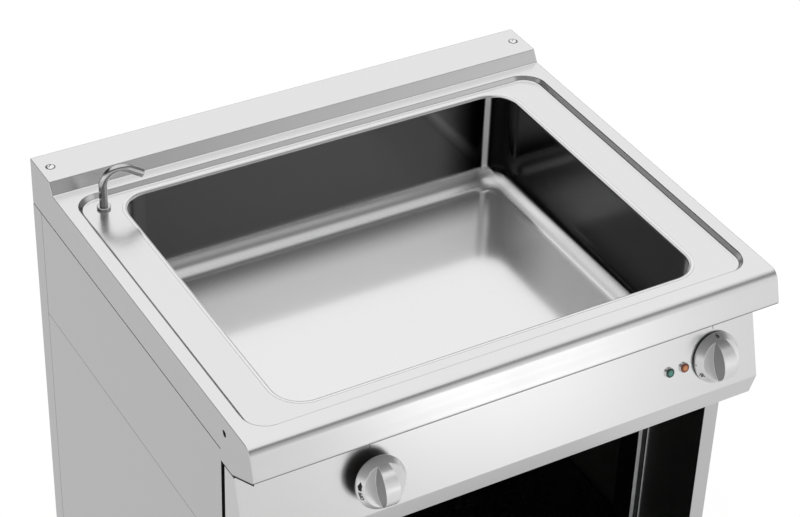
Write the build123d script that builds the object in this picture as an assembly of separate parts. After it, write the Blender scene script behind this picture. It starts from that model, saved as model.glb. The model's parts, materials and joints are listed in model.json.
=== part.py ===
"""Electric bain marie with an open base: a folded stainless worktop with a deep basin, a slanted control
panel, service pieces in the closed compartment under the basin, and a cabinet on adjustable legs.

Frame: millimetres, +X to the user's right, +Y to the rear, +Z up, origin on the floor under the middle of the
whole object. Heights inside the top unit are worked out as drops below the worktop surface.
"""
import os
from math import cos, radians, sin, tan

from build123d import *

# Basin and worktop, from the pan opening outwards
BASIN_WIDTH = 633.0
BASIN_LENGTH = 511.5
BASIN_DEPTH = 160.0
BASIN_CORNER = 40.0
BASIN_COVE = 30.0
BASIN_LIP = 5.0
BASIN_LIP_FLAT = 2.0
LAND_SIDE = 63.5
LAND_FRONT = 32.0
LAND_REAR = 18.5
RIM_SIDE = 20.0
RIM_FRONT = 41.5
RIM_REAR = 17.5
RECESS_DEPTH = 8.0
RECESS_WALL_RUN = 5.0
RECESS_CORNER = 34.0
RECESS_LIP = 2.5
TOP_SHEET = 1.5

# Upstand, nosing and end plates
UPSTAND_HEIGHT = 18.0
UPSTAND_TOP_DEPTH = 67.5
UPSTAND_FOOT_DEPTH = 79.0
FRONT_TILT = 16.3
NOSING_DROP = 46.5
NOSING_RADIUS = 16.0
NOSING_EDGE = 4.0
BEND_RADIUS = 2.0
EDGE_ROUND = 0.7
PLATE_ROUND = 1.1
SKIRT_DROP = 58.0
TAB_DROP = 77.0
TAB_SETBACK = 60.5
SIDE_SETBACK = 93.0
LINK_HOLE_DIAMETER = 10.0
LINK_HOLE_SETBACK = 81.0
LINK_HOLE_DROP = 25.0
SCREW_EDGE = 17.0

# Heights of the stacked units
LEG_HEIGHT = 150.0
BASE_HEIGHT = 463.0
TOP_UNIT_DROP = 237.0

# Folded panels
PANEL_SHEET = 1.2
SEAM_GAP = 0.8
SEAM_ROUND = 1.0
SAME_PLACE = 0.01
TOP_LAP = 30.0
POST_WIDTH = 30.0
POST_BACK = 40.0
POST_LAP = 22.0
POST_FLANGE = 20.0
SIDE_FLANGE = 30.0
FRONT_FLANGE = 25.0
FOOT_FLANGE = 60.0
BACK_OVERLAP = 18.0
BACK_TOP_FLANGE = 22.0
FLOOR_CLEARANCE = 4.0
SHELF_RISE = 40.0
RAIL_HEIGHT = 38.0
RAIL_DEPTH = 25.0
STIFFENER_SETBACK = 163.0
STIFFENER_WIDTH = 40.0
STIFFENER_HEIGHT = 8.0
STIFFENER_LIP = 12.0
LIP_DEPTH = 45.0

# Control panel
PANEL_TOP_DROP = 73.5
PANEL_TOP_SETBACK = 56.5
PANEL_FOLD_DROP = 188.6
PANEL_FOOT_DROP = 225.2
PANEL_FOOT_RUN = 10.8
PANEL_RETURN_SETBACK = 82.0
PANEL_GAP = 1.5
KNOB_DROP = 139.4
WATER_EDGE = 191.0
THERMOSTAT_EDGE = 68.5
LAMP_OFFSET = 52.5
LAMP_PITCH = 24.5
TICK_RISE = 43.8
TICK_LENGTH = 5.0
TICK_WIDTH = 0.9
TICK_DEPTH = 0.3

# Knobs and their spindles
KNOB_RADIUS = 37.0
KNOB_RIM = 2.5
KNOB_SHOULDER_RADIUS = 30.2
KNOB_SHOULDER = 13.5
KNOB_DISH = 2.5
KNOB_HEIGHT = 36.5
GRIP_BASE_WIDTH = 24.5
GRIP_TOP_WIDTH = 21.5
GRIP_END_WIDTH = 14.0
KNOB_WALL = 3.0
HUB_RADIUS = 8.0
WATER_STANDOFF = 17.5
THERMOSTAT_STANDOFF = 2.4
RING_RADIUS = 35.6
RING_THICKNESS = 1.6
RUNNING_FIT = 0.05
PASSAGE = 1.0

# Thermostats and their bulbs
SPINDLE_RADIUS = 3.0
SPINDLE_GRIP = 14.0
THERMOSTAT_WIDTH = 44.0
THERMOSTAT_TALL = 36.0
THERMOSTAT_DEEP = 30.0
BUSH_RADIUS = 5.0
BULB_RADIUS = 3.0
BULB_LENGTH = 90.0
BULB_FLAT = 0.3
CAPILLARY_RADIUS = 1.25
CAPILLARY_BEND = 15.0
SAFETY_WIDTH = 40.0
SAFETY_TALL = 36.0
SAFETY_X = 120.0
SAFETY_SETBACK = 145.0
BUTTON_RADIUS = 4.0
BUTTON_TRAVEL = 2.5
BUTTON_REACH = 6.0
BUTTON_DEPTH = 10.0

# Water line
PIPE_RADIUS = 6.0
PIPE_BEND = 20.0
VALVE_RADIUS = 13.0
VALVE_DEEP = 26.0
VALVE_PORT = 8.0
VALVE_PORT_REACH = 18.0
VALVE_BUSH_RADIUS = 9.0
VALVE_BUSH_REACH = 12.0
VALVE_SPINDLE_RADIUS = 4.0
LOCKNUT_RADIUS = 14.0
LOCKNUT_HEIGHT = 6.0
INLET_EDGE = 100.0
SERVICE_DROP = 205.0
INLET_THREAD_RADIUS = 10.45
INLET_THREAD_LENGTH = 16.0
FITTING_FLANGE_RADIUS = 16.0
FITTING_FLANGE = 8.0
FITTING_NUT = 7.0

# Spout
SPOUT_LAND = 26.5
SPOUT_REAR = 10.5
SPOUT_RADIUS = 6.0
SPOUT_BORE = 4.8
SPOUT_RISE = 28.5
SPOUT_BEND = 25.0
SPOUT_DIP = 30.0
SPOUT_END = 22.0
SPOUT_TURN = 10.0
SPOUT_TAIL = 30.0
SPOUT_NUT_RADIUS = 10.0
SPOUT_NUT_HEIGHT = 4.0
SPOUT_NUT_ROUND = 1.2

# Pilot lamps
LAMP_BODY_RADIUS = 4.8
LAMP_BODY_LENGTH = 28.0
LAMP_HOLE_PLAY = 0.2
BEZEL_RADIUS = 7.6
BEZEL_HEIGHT = 2.6
LENS_RADIUS = 6.7
LENS_SEAT = 1.0
LENS_HEIGHT = 4.6
LENS_ROUND = 1.8

# Heating
ELEMENT_RADIUS = 4.0
ELEMENT_FLAT = 0.4
ELEMENT_LEGS = 6
ELEMENT_FRONT = 134.0
ELEMENT_REAR = 74.0
ELEMENT_BEND = 20.0
ELEMENT_MARGIN = 65.0
ELEMENT_TAIL = 40.0
CLAMP_COUNT = 3
CLAMP_PITCH = 150.0
CLAMP_WIDTH = 25.0
CLAMP_SHEET = 3.0
CLAMP_OVERHANG = 32.0
STUD_RADIUS = 3.0
STUD_LENGTH = 20.0
STUD_INSET = 10.0
NUT_RADIUS = 5.8
NUT_HEIGHT = 5.0

# Electrical pieces
PLATE_STAND = 13.0
PLATE_LENGTH = 180.0
PLATE_TALL = 110.0
PLATE_REAR = 90.0
PLATE_RISE = 40.0
BLOCK_LENGTH = 90.0
BLOCK_TALL = 42.0
TERMINALS = 5
BLOCK_DEEP = 24.0
GLAND_EDGE = 100.0
GLAND_BORE = 6.0
GLAND_RADIUS = 12.0
GLAND_LENGTH = 24.0
LOOM_RADIUS = 5.0
LOOM_BEND = 12.0
LOOM_EDGE = 55.0

# Drain
DRAIN_SIDE = 115.0
DRAIN_FRONT = 83.0
DRAIN_FLANGE_RADIUS = 29.0
DRAIN_FLANGE = 2.0
DRAIN_RADIUS = 16.5
DRAIN_BORE = 12.0
DRAIN_LENGTH = 110.0
DRAIN_PLAY = 0.5
GASKET_RADIUS = 26.0
GASKET_HEIGHT = 2.0
DRAIN_NUT_RADIUS = 25.0
DRAIN_NUT_HEIGHT = 9.0
DRAIN_VALVE_SIZE = 46.0
DRAIN_VALVE_TALL = 64.0
BALL_RADIUS = 17.0
BALL_PLAY = 0.4
STEM_RADIUS = 5.0
STEM_FLAT = 14.0
STEM_REACH = 12.0
LEVER_LENGTH = 105.0
LEVER_WIDTH = 16.0
LEVER_SHEET = 3.0
GRIP_SLEEVE = 55.0
GRIP_WALL = 2.0
NOZZLE_RADIUS = 14.0
NOZZLE_LENGTH = 52.0
NOZZLE_BARB = 1.5
NOZZLE_BARB_LENGTH = 4.5
NOZZLE_BARBS = 3

# Legs
LEG_PLATE = 70.0
LEG_PLATE_SHEET = 3.0
LEG_SIDE = 36.0
LEG_FRONT_SETBACK = 45.0
LEG_REAR_SETBACK = 45.0
SLEEVE_RADIUS = 25.0
SLEEVE_FOOT = 60.0
FOOT_RADIUS = 20.0
FOOT_PLAY = 0.3
FOOT_PAD_RADIUS = 23.0
FOOT_PAD_HEIGHT = 10.0
FOOT_HEADROOM = 12.0
FOOT_CHAMFER = 2.0

# Small fasteners
DOME_RADIUS = 7.2
DOME_HEIGHT = 2.7
DOME_SLOT = 1.4
DOME_SLOT_DEPTH = 1.1
DOME_SLOT_TURN = 35.0
SCREW_RADIUS = 2.5
SCREW_LENGTH = 10.0
SCREW_HEAD_RADIUS = 4.5
SCREW_HEAD = 2.4
SCREW_PLAY = 0.2
PANEL_SCREW_COUNT = 4
REAR_SCREW_EDGE = 40.0

# Places worked out from the sizes above
WIDTH = BASIN_WIDTH + 2 * (LAND_SIDE + RIM_SIDE)
DEPTH = RIM_FRONT + LAND_FRONT + BASIN_LENGTH + LAND_REAR + RIM_REAR + UPSTAND_FOOT_DEPTH
HALF = WIDTH / 2
FRONT = -DEPTH / 2
REAR = DEPTH / 2
SEAM_Z = LEG_HEIGHT + BASE_HEIGHT
TOP_Z = SEAM_Z + TOP_UNIT_DROP
LAND_Z = TOP_Z - RECESS_DEPTH
SKIRT_Z = TOP_Z - SKIRT_DROP
SIDE_FRONT = FRONT + SIDE_SETBACK
POST_FRONT = REAR - POST_WIDTH
SIDE_REAR = POST_FRONT - SEAM_GAP
BASIN_Y = FRONT + RIM_FRONT + LAND_FRONT + BASIN_LENGTH / 2
BASIN_FRONT = BASIN_Y - BASIN_LENGTH / 2
BASIN_REAR = BASIN_Y + BASIN_LENGTH / 2
BASIN_UNDER = TOP_Z - BASIN_DEPTH - TOP_SHEET
ELEMENT_PITCH = (BASIN_LENGTH - ELEMENT_FRONT - ELEMENT_REAR) / (ELEMENT_LEGS - 1)
ELEMENT_Y = BASIN_FRONT + ELEMENT_FRONT
RECESS_WIDTH = BASIN_WIDTH + 2 * LAND_SIDE
RECESS_LENGTH = LAND_FRONT + BASIN_LENGTH + LAND_REAR
RECESS_Y = FRONT + RIM_FRONT + RECESS_LENGTH / 2
FLOOR_Z = SEAM_Z + PANEL_SHEET
SHELF_Z = LEG_HEIGHT + SHELF_RISE
SERVICE_Z = TOP_Z - SERVICE_DROP
BACK_Y = POST_FRONT + PANEL_SHEET
SLOPE = tan(radians(FRONT_TILT))
PANEL_TOP_Y = FRONT + PANEL_TOP_SETBACK
PANEL_FOLD_Y = PANEL_TOP_Y - (PANEL_FOLD_DROP - PANEL_TOP_DROP) * SLOPE
PANEL_FOOT_Y = PANEL_FOLD_Y + PANEL_FOOT_RUN
KNOB_Y = PANEL_TOP_Y - (KNOB_DROP - PANEL_TOP_DROP) * SLOPE
WATER_X = -HALF + WATER_EDGE
THERMOSTAT_X = HALF - THERMOSTAT_EDGE
LAMP_ORANGE_X = THERMOSTAT_X - LAMP_OFFSET
LAMP_GREEN_X = LAMP_ORANGE_X - LAMP_PITCH
INLET_X = -HALF + INLET_EDGE
GLAND_X = HALF - GLAND_EDGE
SPOUT_X = -BASIN_WIDTH / 2 - SPOUT_LAND
SPOUT_Y = BASIN_REAR - SPOUT_REAR
DRAIN_X = -BASIN_WIDTH / 2 + DRAIN_SIDE
DRAIN_Y = BASIN_FRONT + DRAIN_FRONT
SCREW_Y = REAR - UPSTAND_TOP_DEPTH / 2
FRONT_CORNER_Y = FRONT + NOSING_DROP * SLOPE
UNDER_SLOPE = (TAB_DROP - NOSING_DROP) / TAB_SETBACK
LEG_FRONT_Y = SIDE_FRONT + LEG_FRONT_SETBACK
LEG_REAR_Y = SIDE_REAR - LEG_REAR_SETBACK
LEG_X = HALF - LEG_SIDE
FOOT_TOP = LEG_HEIGHT - LEG_PLATE_SHEET - FOOT_HEADROOM


def block(low, high):
    """A box between two opposite corners."""
    size = [h - l for l, h in zip(low, high)]
    middle = [(h + l) / 2 for l, h in zip(low, high)]
    return Pos(*middle) * Box(*size)


def both_sides(shape):
    """A shape built on the right, with its mirror image on the left."""
    return shape, mirror(shape, about=Plane.YZ)


def rounded(width, length, radius, y, z, grow=0.0):
    """A rounded rectangle lying at a height, grown outwards by a distance."""
    outline = RectangleRounded(width + 2 * grow, length + 2 * grow, radius + grow)
    return Pos(0, y, z) * outline


def panel_frame(x):
    """Axes on the front of the control panel: X right, Y up the slope, Z out towards the user."""
    tilt = radians(FRONT_TILT)
    return Plane(origin=(x, KNOB_Y, TOP_Z - KNOB_DROP), x_dir=(1, 0, 0), z_dir=(0, -cos(tilt), sin(tilt)))


def peg(radius, low, high):
    """A round bar along Z between two heights."""
    return Pos(0, 0, (low + high) / 2) * Cylinder(radius, high - low)


def hex_bar(radius, low, high):
    """A hexagon bar along Z, measured over its corners."""
    return Pos(0, 0, low) * extrude(RegularPolygon(radius, 6), high - low)


def tube(points, radius, bend):
    """A round bar along straight runs joined by arcs."""
    path = FilletPolyline(*points, radius=bend)
    section = Plane(origin=path @ 0, z_dir=path % 0) * Circle(radius)
    return sweep(section, path=path)


def recess_solid(grow, drop, z):
    """The tapered body of the pressed recess."""
    top = rounded(RECESS_WIDTH, RECESS_LENGTH, RECESS_CORNER, RECESS_Y, z, grow)
    foot = rounded(RECESS_WIDTH, RECESS_LENGTH, RECESS_CORNER, RECESS_Y, z - drop, grow - RECESS_WALL_RUN)
    return loft([top, foot], ruled=True)


def basin_outline(z, grow=0.0):
    """The plan of the basin opening."""
    return rounded(BASIN_WIDTH, BASIN_LENGTH, BASIN_CORNER, BASIN_Y, z, grow)


def loop_at(shape, z):
    """The edges of a shape that lie flat at one height."""
    return shape.edges().filter_by_position(Axis.Z, z - SAME_PLACE, z + SAME_PLACE)


def hole_edges(shape, z):
    """The edges round the opening in the largest flat face at one height."""
    flat = shape.faces().filter_by_position(Axis.Z, z - SAME_PLACE, z + SAME_PLACE).filter_by(Plane.XY)
    return flat.sort_by(SortBy.AREA)[-1].inner_wires()[0].edges()


def top_profile():
    """The outer fold line of the worktop seen from the right side, from the rear skirt to the nosing."""
    under_end = PANEL_TOP_Y - PANEL_GAP
    points = [
        (REAR, SKIRT_Z),
        (REAR, TOP_Z + UPSTAND_HEIGHT),
        (REAR - UPSTAND_TOP_DEPTH, TOP_Z + UPSTAND_HEIGHT),
        (REAR - UPSTAND_FOOT_DEPTH, TOP_Z),
        (FRONT_CORNER_Y, TOP_Z),
        (FRONT, TOP_Z - NOSING_DROP),
        (under_end, TOP_Z - NOSING_DROP - (under_end - FRONT) * UNDER_SLOPE),
    ]
    radii = [BEND_RADIUS, BEND_RADIUS, BEND_RADIUS, NOSING_RADIUS, NOSING_EDGE]
    return FilletPolyline(*points, radius=radii)


def end_plate():
    """The right end plate of the worktop, with the linking hole."""
    points = [
        (REAR, SKIRT_Z),
        (REAR, TOP_Z + UPSTAND_HEIGHT),
        (REAR - UPSTAND_TOP_DEPTH, TOP_Z + UPSTAND_HEIGHT),
        (REAR - UPSTAND_FOOT_DEPTH, TOP_Z),
        (FRONT_CORNER_Y, TOP_Z),
        (FRONT, TOP_Z - NOSING_DROP),
        (FRONT + TAB_SETBACK, TOP_Z - TAB_DROP),
        (SIDE_FRONT, TOP_Z - TAB_DROP),
        (SIDE_FRONT, SKIRT_Z),
    ]
    radii = [0, BEND_RADIUS, BEND_RADIUS, BEND_RADIUS, NOSING_RADIUS, NOSING_EDGE, 0, 0, 0]
    outline = make_face(FilletPolyline(*points, radius=radii, close=True))
    plate = extrude(Pos(HALF - TOP_SHEET, 0, 0) * (Plane.YZ * outline), TOP_SHEET)
    outer_face = plate.faces().sort_by(Axis.X)[-1]
    plate = fillet(outer_face.edges(), PLATE_ROUND)
    hole = Rot(0, 90, 0) * Cylinder(LINK_HOLE_DIAMETER / 2, 4 * TOP_SHEET)
    return plate - Pos(HALF, FRONT + LINK_HOLE_SETBACK, TOP_Z - LINK_HOLE_DROP) * hole


def worktop():
    """The folded top sheet with its pressed recess and end plates."""
    line = top_profile()
    band = make_face(offset(line, amount=TOP_SHEET, side=Side.LEFT))
    inner = WIDTH - 2 * TOP_SHEET
    sheet = extrude(Plane.YZ * band, inner / 2, both=True)
    wall = (RECESS_WALL_RUN**2 + RECESS_DEPTH**2) ** 0.5
    grow = TOP_SHEET * (wall - RECESS_WALL_RUN) / RECESS_DEPTH
    sheet += recess_solid(grow, RECESS_DEPTH, TOP_Z - TOP_SHEET)
    sheet -= recess_solid(0, RECESS_DEPTH, TOP_Z)
    recess_foot = loop_at(sheet, LAND_Z)
    sheet = fillet(recess_foot, RECESS_LIP)
    sheet = fillet(hole_edges(sheet, TOP_Z), RECESS_LIP)
    opening = basin_outline(LAND_Z - 3 * TOP_SHEET, BASIN_LIP + BASIN_LIP_FLAT)
    sheet -= extrude(opening, 6 * TOP_SHEET)
    sheet -= Pos(SPOUT_X, SPOUT_Y, LAND_Z) * Cylinder(SPOUT_RADIUS + SCREW_PLAY, 6 * TOP_SHEET)
    for side in (-1, 1):
        place = Pos(side * (HALF - SCREW_EDGE), SCREW_Y, TOP_Z + UPSTAND_HEIGHT)
        sheet -= place * Cylinder(SCREW_RADIUS + SCREW_PLAY, 6 * TOP_SHEET)
    for plate in both_sides(end_plate()):
        sheet += plate
    return sheet


def basin():
    """The drawn basin with a rolled lip that meets the worktop's land."""
    floor_z = TOP_Z - BASIN_DEPTH
    collar_z = LAND_Z - BASIN_LIP
    outer = extrude(basin_outline(BASIN_UNDER, TOP_SHEET), collar_z - BASIN_UNDER)
    outer = fillet(loop_at(outer, BASIN_UNDER), BASIN_COVE + TOP_SHEET)
    collar = extrude(basin_outline(collar_z, BASIN_LIP + BASIN_LIP_FLAT), BASIN_LIP)
    shell = outer + collar
    hollow = extrude(basin_outline(floor_z), LAND_Z - floor_z)
    shell -= fillet(loop_at(hollow, floor_z), BASIN_COVE)
    shell = fillet(hole_edges(shell, LAND_Z), BASIN_LIP)
    spare = BASIN_LIP + 2 * BASIN_LIP_FLAT
    low_z = collar_z - BASIN_LIP
    under = extrude(basin_outline(low_z, spare) - basin_outline(low_z, TOP_SHEET), 2 * BASIN_LIP - TOP_SHEET)
    shell -= fillet(hole_edges(under, LAND_Z - TOP_SHEET), BASIN_LIP - TOP_SHEET)
    shell -= Pos(DRAIN_X, DRAIN_Y, floor_z) * Cylinder(DRAIN_RADIUS + DRAIN_PLAY, 6 * TOP_SHEET)
    return shell


def upper_side_panel():
    """The right side panel of the top unit, lapped up behind the end plate."""
    top = SKIRT_Z - SEAM_GAP
    lap_x = HALF - TOP_SHEET
    flange_rear = SIDE_REAR - POST_LAP - FLOOR_CLEARANCE
    panel = block((HALF - PANEL_SHEET, SIDE_FRONT, SEAM_Z), (HALF, SIDE_REAR, top))
    panel += block((lap_x - PANEL_SHEET, SIDE_FRONT, top - PANEL_SHEET), (HALF, SIDE_REAR, top))
    panel += block((lap_x - PANEL_SHEET, SIDE_FRONT, top - PANEL_SHEET), (lap_x, SIDE_REAR, top + TOP_LAP))
    panel += block((HALF - SIDE_FLANGE, SIDE_FRONT, SEAM_Z), (HALF, flange_rear, SEAM_Z + PANEL_SHEET))
    panel += block((HALF - FRONT_FLANGE, SIDE_FRONT, SEAM_Z), (HALF, SIDE_FRONT + PANEL_SHEET, top))
    return round_outer_edges(panel, SEAM_Z)


def base_side_panel():
    """The right side panel of the base, with a front return and flanges above and below."""
    flange_rear = SIDE_REAR - POST_LAP - FLOOR_CLEARANCE
    foot_z = LEG_HEIGHT + PANEL_SHEET
    panel = block((HALF - PANEL_SHEET, SIDE_FRONT, LEG_HEIGHT), (HALF, SIDE_REAR, SEAM_Z))
    panel += block((HALF - SIDE_FLANGE, SIDE_FRONT, SEAM_Z - PANEL_SHEET), (HALF, flange_rear, SEAM_Z))
    panel += block((HALF - FOOT_FLANGE, SIDE_FRONT, LEG_HEIGHT), (HALF, flange_rear, foot_z))
    panel += block((HALF - FRONT_FLANGE, SIDE_FRONT, LEG_HEIGHT), (HALF, SIDE_FRONT + PANEL_SHEET, SEAM_Z))
    return round_outer_edges(panel, SEAM_Z)


def round_outer_edges(panel, seam):
    """Round the upright front corner and the seam edge of a side panel."""
    skin = [e for e in panel.edges() if abs(e.center().X - HALF) < SAME_PLACE]
    upright = [e for e in skin if abs(e.center().Y - SIDE_FRONT) < SAME_PLACE]
    panel = fillet(upright, SEAM_ROUND)
    flat = [e for e in loop_at(panel, seam) if abs(e.center().X - HALF) < SAME_PLACE]
    return fillet(flat, SEAM_ROUND)


def rear_post():
    """The right rear corner post, lapped forward behind the side panels."""
    top = SKIRT_Z - SEAM_GAP
    lap_low = LEG_HEIGHT + FLOOR_CLEARANCE
    lap_high = top - FLOOR_CLEARANCE
    inner = HALF - POST_BACK
    t = PANEL_SHEET
    post = block((HALF - 2 * t, SIDE_REAR - POST_LAP, lap_low), (HALF - t, POST_FRONT + t, lap_high))
    post += block((HALF - 2 * t, POST_FRONT, LEG_HEIGHT), (HALF, POST_FRONT + t, top))
    post += block((HALF - t, POST_FRONT, LEG_HEIGHT), (HALF, REAR, top))
    post += block((inner, REAR - t, LEG_HEIGHT), (HALF, REAR, top))
    post += block((inner, POST_FRONT, LEG_HEIGHT), (inner + t, REAR, top))
    post += block((inner - POST_FLANGE, POST_FRONT, LEG_HEIGHT), (inner + t, POST_FRONT + t, top))
    return post


def rear_screw_places():
    """Where the rear sheets are screwed to the posts: height and the sheet's side."""
    low = SHELF_Z + REAR_SCREW_EDGE
    middle = SEAM_Z - REAR_SCREW_EDGE
    rows = [low, (low + middle) / 2, middle, SEAM_Z + REAR_SCREW_EDGE, SKIRT_Z - REAR_SCREW_EDGE]
    x = HALF - POST_BACK - POST_FLANGE / 2
    return [(side * x, z) for side in (-1, 1) for z in rows]


def screw_holes_rear(sheet, radius):
    """Drill a rear sheet or post for the rear screws."""
    for x, z in rear_screw_places():
        sheet -= Pos(x, BACK_Y, z) * (Rot(90, 0, 0) * Cylinder(radius, 8 * PANEL_SHEET))
    return sheet


def rear_panel():
    """The upper back sheet, folded forward at the top under the upstand."""
    edge = HALF - POST_BACK - POST_FLANGE + BACK_OVERLAP
    top = TOP_Z + UPSTAND_HEIGHT - TOP_SHEET
    wide = HALF - TOP_SHEET - FLOOR_CLEARANCE
    sheet = block((-edge, BACK_Y, SEAM_Z), (edge, BACK_Y + PANEL_SHEET, top))
    flange_front = BACK_Y - BACK_TOP_FLANGE
    sheet += block((-wide, flange_front, top - PANEL_SHEET), (wide, BACK_Y + PANEL_SHEET, top))
    for x, radius in ((INLET_X, INLET_THREAD_RADIUS), (GLAND_X, GLAND_RADIUS - SCREW_HEAD)):
        sheet -= Pos(x, BACK_Y, SERVICE_Z) * (Rot(90, 0, 0) * Cylinder(radius, 8 * PANEL_SHEET))
    for side in (-1, 1):
        place = Pos(side * (HALF - SCREW_EDGE), SCREW_Y, top)
        sheet -= place * Cylinder(SCREW_RADIUS + SCREW_PLAY, 6 * TOP_SHEET)
    return screw_holes_rear(sheet, SCREW_RADIUS)


def base_back():
    """The back sheet of the base cabinet."""
    edge = HALF - POST_BACK - POST_FLANGE + BACK_OVERLAP
    sheet = block((-edge, BACK_Y, LEG_HEIGHT), (edge, BACK_Y + PANEL_SHEET, SEAM_Z))
    return screw_holes_rear(sheet, SCREW_RADIUS)


def rear_screws():
    """Pan-head screws through the rear sheets into the posts."""
    screws = []
    for x, z in rear_screw_places():
        head = peg(SCREW_HEAD_RADIUS, 0, SCREW_HEAD)
        shank = peg(SCREW_RADIUS, -SCREW_LENGTH, 0)
        place = Plane(origin=(x, BACK_Y + PANEL_SHEET, z), z_dir=(0, 1, 0))
        screws.append(place * (head + shank))
    return Compound(screws)


def upstand_screws():
    """Slotted dome screws on the upstand, through the worktop into the rear panel's flange."""
    ball = (DOME_RADIUS**2 + DOME_HEIGHT**2) / (2 * DOME_HEIGHT)
    dome = Pos(0, 0, DOME_HEIGHT - ball) * Sphere(ball)
    dome &= peg(DOME_RADIUS, 0, DOME_HEIGHT)
    slot_low = DOME_HEIGHT - DOME_SLOT_DEPTH
    dome -= block((-DOME_RADIUS, -DOME_SLOT / 2, slot_low), (DOME_RADIUS, DOME_SLOT / 2, DOME_HEIGHT))
    screw = dome + peg(SCREW_RADIUS, -SCREW_LENGTH, 0)
    top = TOP_Z + UPSTAND_HEIGHT
    screw = Rot(0, 0, DOME_SLOT_TURN) * screw
    return Compound([Pos(s * (HALF - SCREW_EDGE), SCREW_Y, top) * screw for s in (-1, 1)])


def compartment_floor():
    """The tray that closes the service compartment; its raised front lip carries the control panel."""
    edge = HALF - 2 * PANEL_SHEET - FLOOR_CLEARANCE
    front = SIDE_FRONT + PANEL_SHEET
    rear = POST_FRONT - SEAM_GAP
    lip_edge = HALF - FRONT_FLANGE - FLOOR_CLEARANCE
    lip_z = TOP_Z - PANEL_FOOT_DROP + PANEL_SHEET
    tray = block((-edge, front, FLOOR_Z), (edge, rear, FLOOR_Z + PANEL_SHEET))
    tray += block((-lip_edge, front, FLOOR_Z), (lip_edge, front + PANEL_SHEET, lip_z + PANEL_SHEET))
    tray += block((-lip_edge, front - LIP_DEPTH, lip_z), (lip_edge, front + PANEL_SHEET, lip_z + PANEL_SHEET))
    tray -= Pos(DRAIN_X, DRAIN_Y, FLOOR_Z) * Cylinder(DRAIN_RADIUS + FLOOR_CLEARANCE, 8 * PANEL_SHEET)
    button = BUTTON_RADIUS + PASSAGE
    tray -= Pos(SAFETY_X, FRONT + SAFETY_SETBACK, FLOOR_Z) * Cylinder(button, 8 * PANEL_SHEET)
    for x in panel_screw_places():
        hole = Cylinder(SCREW_RADIUS, 8 * PANEL_SHEET)
        tray -= Pos(x, front - LIP_DEPTH / 2, lip_z) * hole
    return tray


def panel_screw_places():
    """X of the screws under the control panel's foot flange."""
    span = 2 * (HALF - FRONT_FLANGE - SIDE_FLANGE)
    step = span / (PANEL_SCREW_COUNT - 1)
    return [-span / 2 + i * step for i in range(PANEL_SCREW_COUNT)]


def panel_screws():
    """Screws from below through the panel's foot flange into the compartment floor's lip."""
    y = SIDE_FRONT + PANEL_SHEET - LIP_DEPTH / 2
    z = TOP_Z - PANEL_FOOT_DROP
    screw = peg(SCREW_HEAD_RADIUS, -SCREW_HEAD, 0) + peg(SCREW_RADIUS, 0, SCREW_LENGTH / 2)
    return Compound([Pos(x, y, z) * screw for x in panel_screw_places()])


def control_panel():
    """The slanted panel with its lower return, top and foot flanges and side returns."""
    t = PANEL_SHEET
    top = TOP_Z - PANEL_TOP_DROP
    fold = TOP_Z - PANEL_FOLD_DROP
    foot = TOP_Z - PANEL_FOOT_DROP
    flange_end = BASIN_FRONT - TOP_SHEET - FLOOR_CLEARANCE
    line = FilletPolyline(
        (flange_end, top), (PANEL_TOP_Y, top), (PANEL_FOLD_Y, fold), (PANEL_FOOT_Y, foot), (SIDE_FRONT, foot),
        radius=BEND_RADIUS)
    band = make_face(offset(line, amount=t, side=Side.LEFT))
    inner = HALF - TOP_SHEET - SCREW_PLAY
    panel = extrude(Plane.YZ * band, inner, both=True)
    back = FRONT + PANEL_RETURN_SETBACK
    gap = PANEL_GAP
    tab_z = TOP_Z - TAB_DROP - gap
    under_y = PANEL_TOP_Y - (TAB_DROP + gap - PANEL_TOP_DROP) * SLOPE
    cheek_line = FilletPolyline(
        (back, tab_z), (under_y, tab_z), (PANEL_FOLD_Y, fold), (PANEL_FOOT_Y, foot), (back, foot),
        radius=[0, 0, BEND_RADIUS, BEND_RADIUS, 0], close=True)
    cheek = extrude(Pos(inner, 0, 0) * (Plane.YZ * make_face(cheek_line)), HALF - inner)
    cheek = fillet(cheek.faces().sort_by(Axis.X)[-1].edges(), EDGE_ROUND)
    for part in both_sides(cheek):
        panel += part
    bores = [(WATER_X, VALVE_BUSH_RADIUS + SCREW_PLAY), (THERMOSTAT_X, BUSH_RADIUS + SCREW_PLAY)]
    bores += [(x, LAMP_BODY_RADIUS + LAMP_HOLE_PLAY) for x in (LAMP_GREEN_X, LAMP_ORANGE_X)]
    for x, radius in bores:
        panel -= panel_frame(x) * Cylinder(radius, 8 * t)
    for x in (WATER_X, THERMOSTAT_X):
        groove = Pos(0, TICK_RISE, 0) * Box(TICK_WIDTH, TICK_LENGTH, 2 * TICK_DEPTH)
        panel -= panel_frame(x) * groove
    for x in panel_screw_places():
        place = Pos(x, SIDE_FRONT + t - LIP_DEPTH / 2, foot)
        panel -= place * Cylinder(SCREW_RADIUS + SCREW_PLAY, 8 * t)
    return panel


def base_shelf():
    """The cabinet bottom, an upturned tray resting on the side panels' foot flanges."""
    edge = HALF - 2 * PANEL_SHEET - FLOOR_CLEARANCE
    front = SIDE_FRONT + PANEL_SHEET
    rear = POST_FRONT - SEAM_GAP
    low = LEG_HEIGHT + PANEL_SHEET
    shelf = block((-edge, front, low), (edge, rear, SHELF_Z))
    t = PANEL_SHEET
    return shelf - block((-edge + t, front + t, low), (edge - t, rear - t, SHELF_Z - t))


def base_front_rail():
    """The channel across the top of the cabinet mouth, under the compartment floor."""
    edge = HALF - SIDE_FLANGE
    front = SIDE_FRONT + PANEL_SHEET
    low = FLOOR_Z - RAIL_HEIGHT
    rail = block((-edge, front, low), (edge, front + RAIL_DEPTH, FLOOR_Z))
    t = PANEL_SHEET
    return rail - block((-edge, front + t, low + t), (edge, front + RAIL_DEPTH, FLOOR_Z - t))


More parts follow.
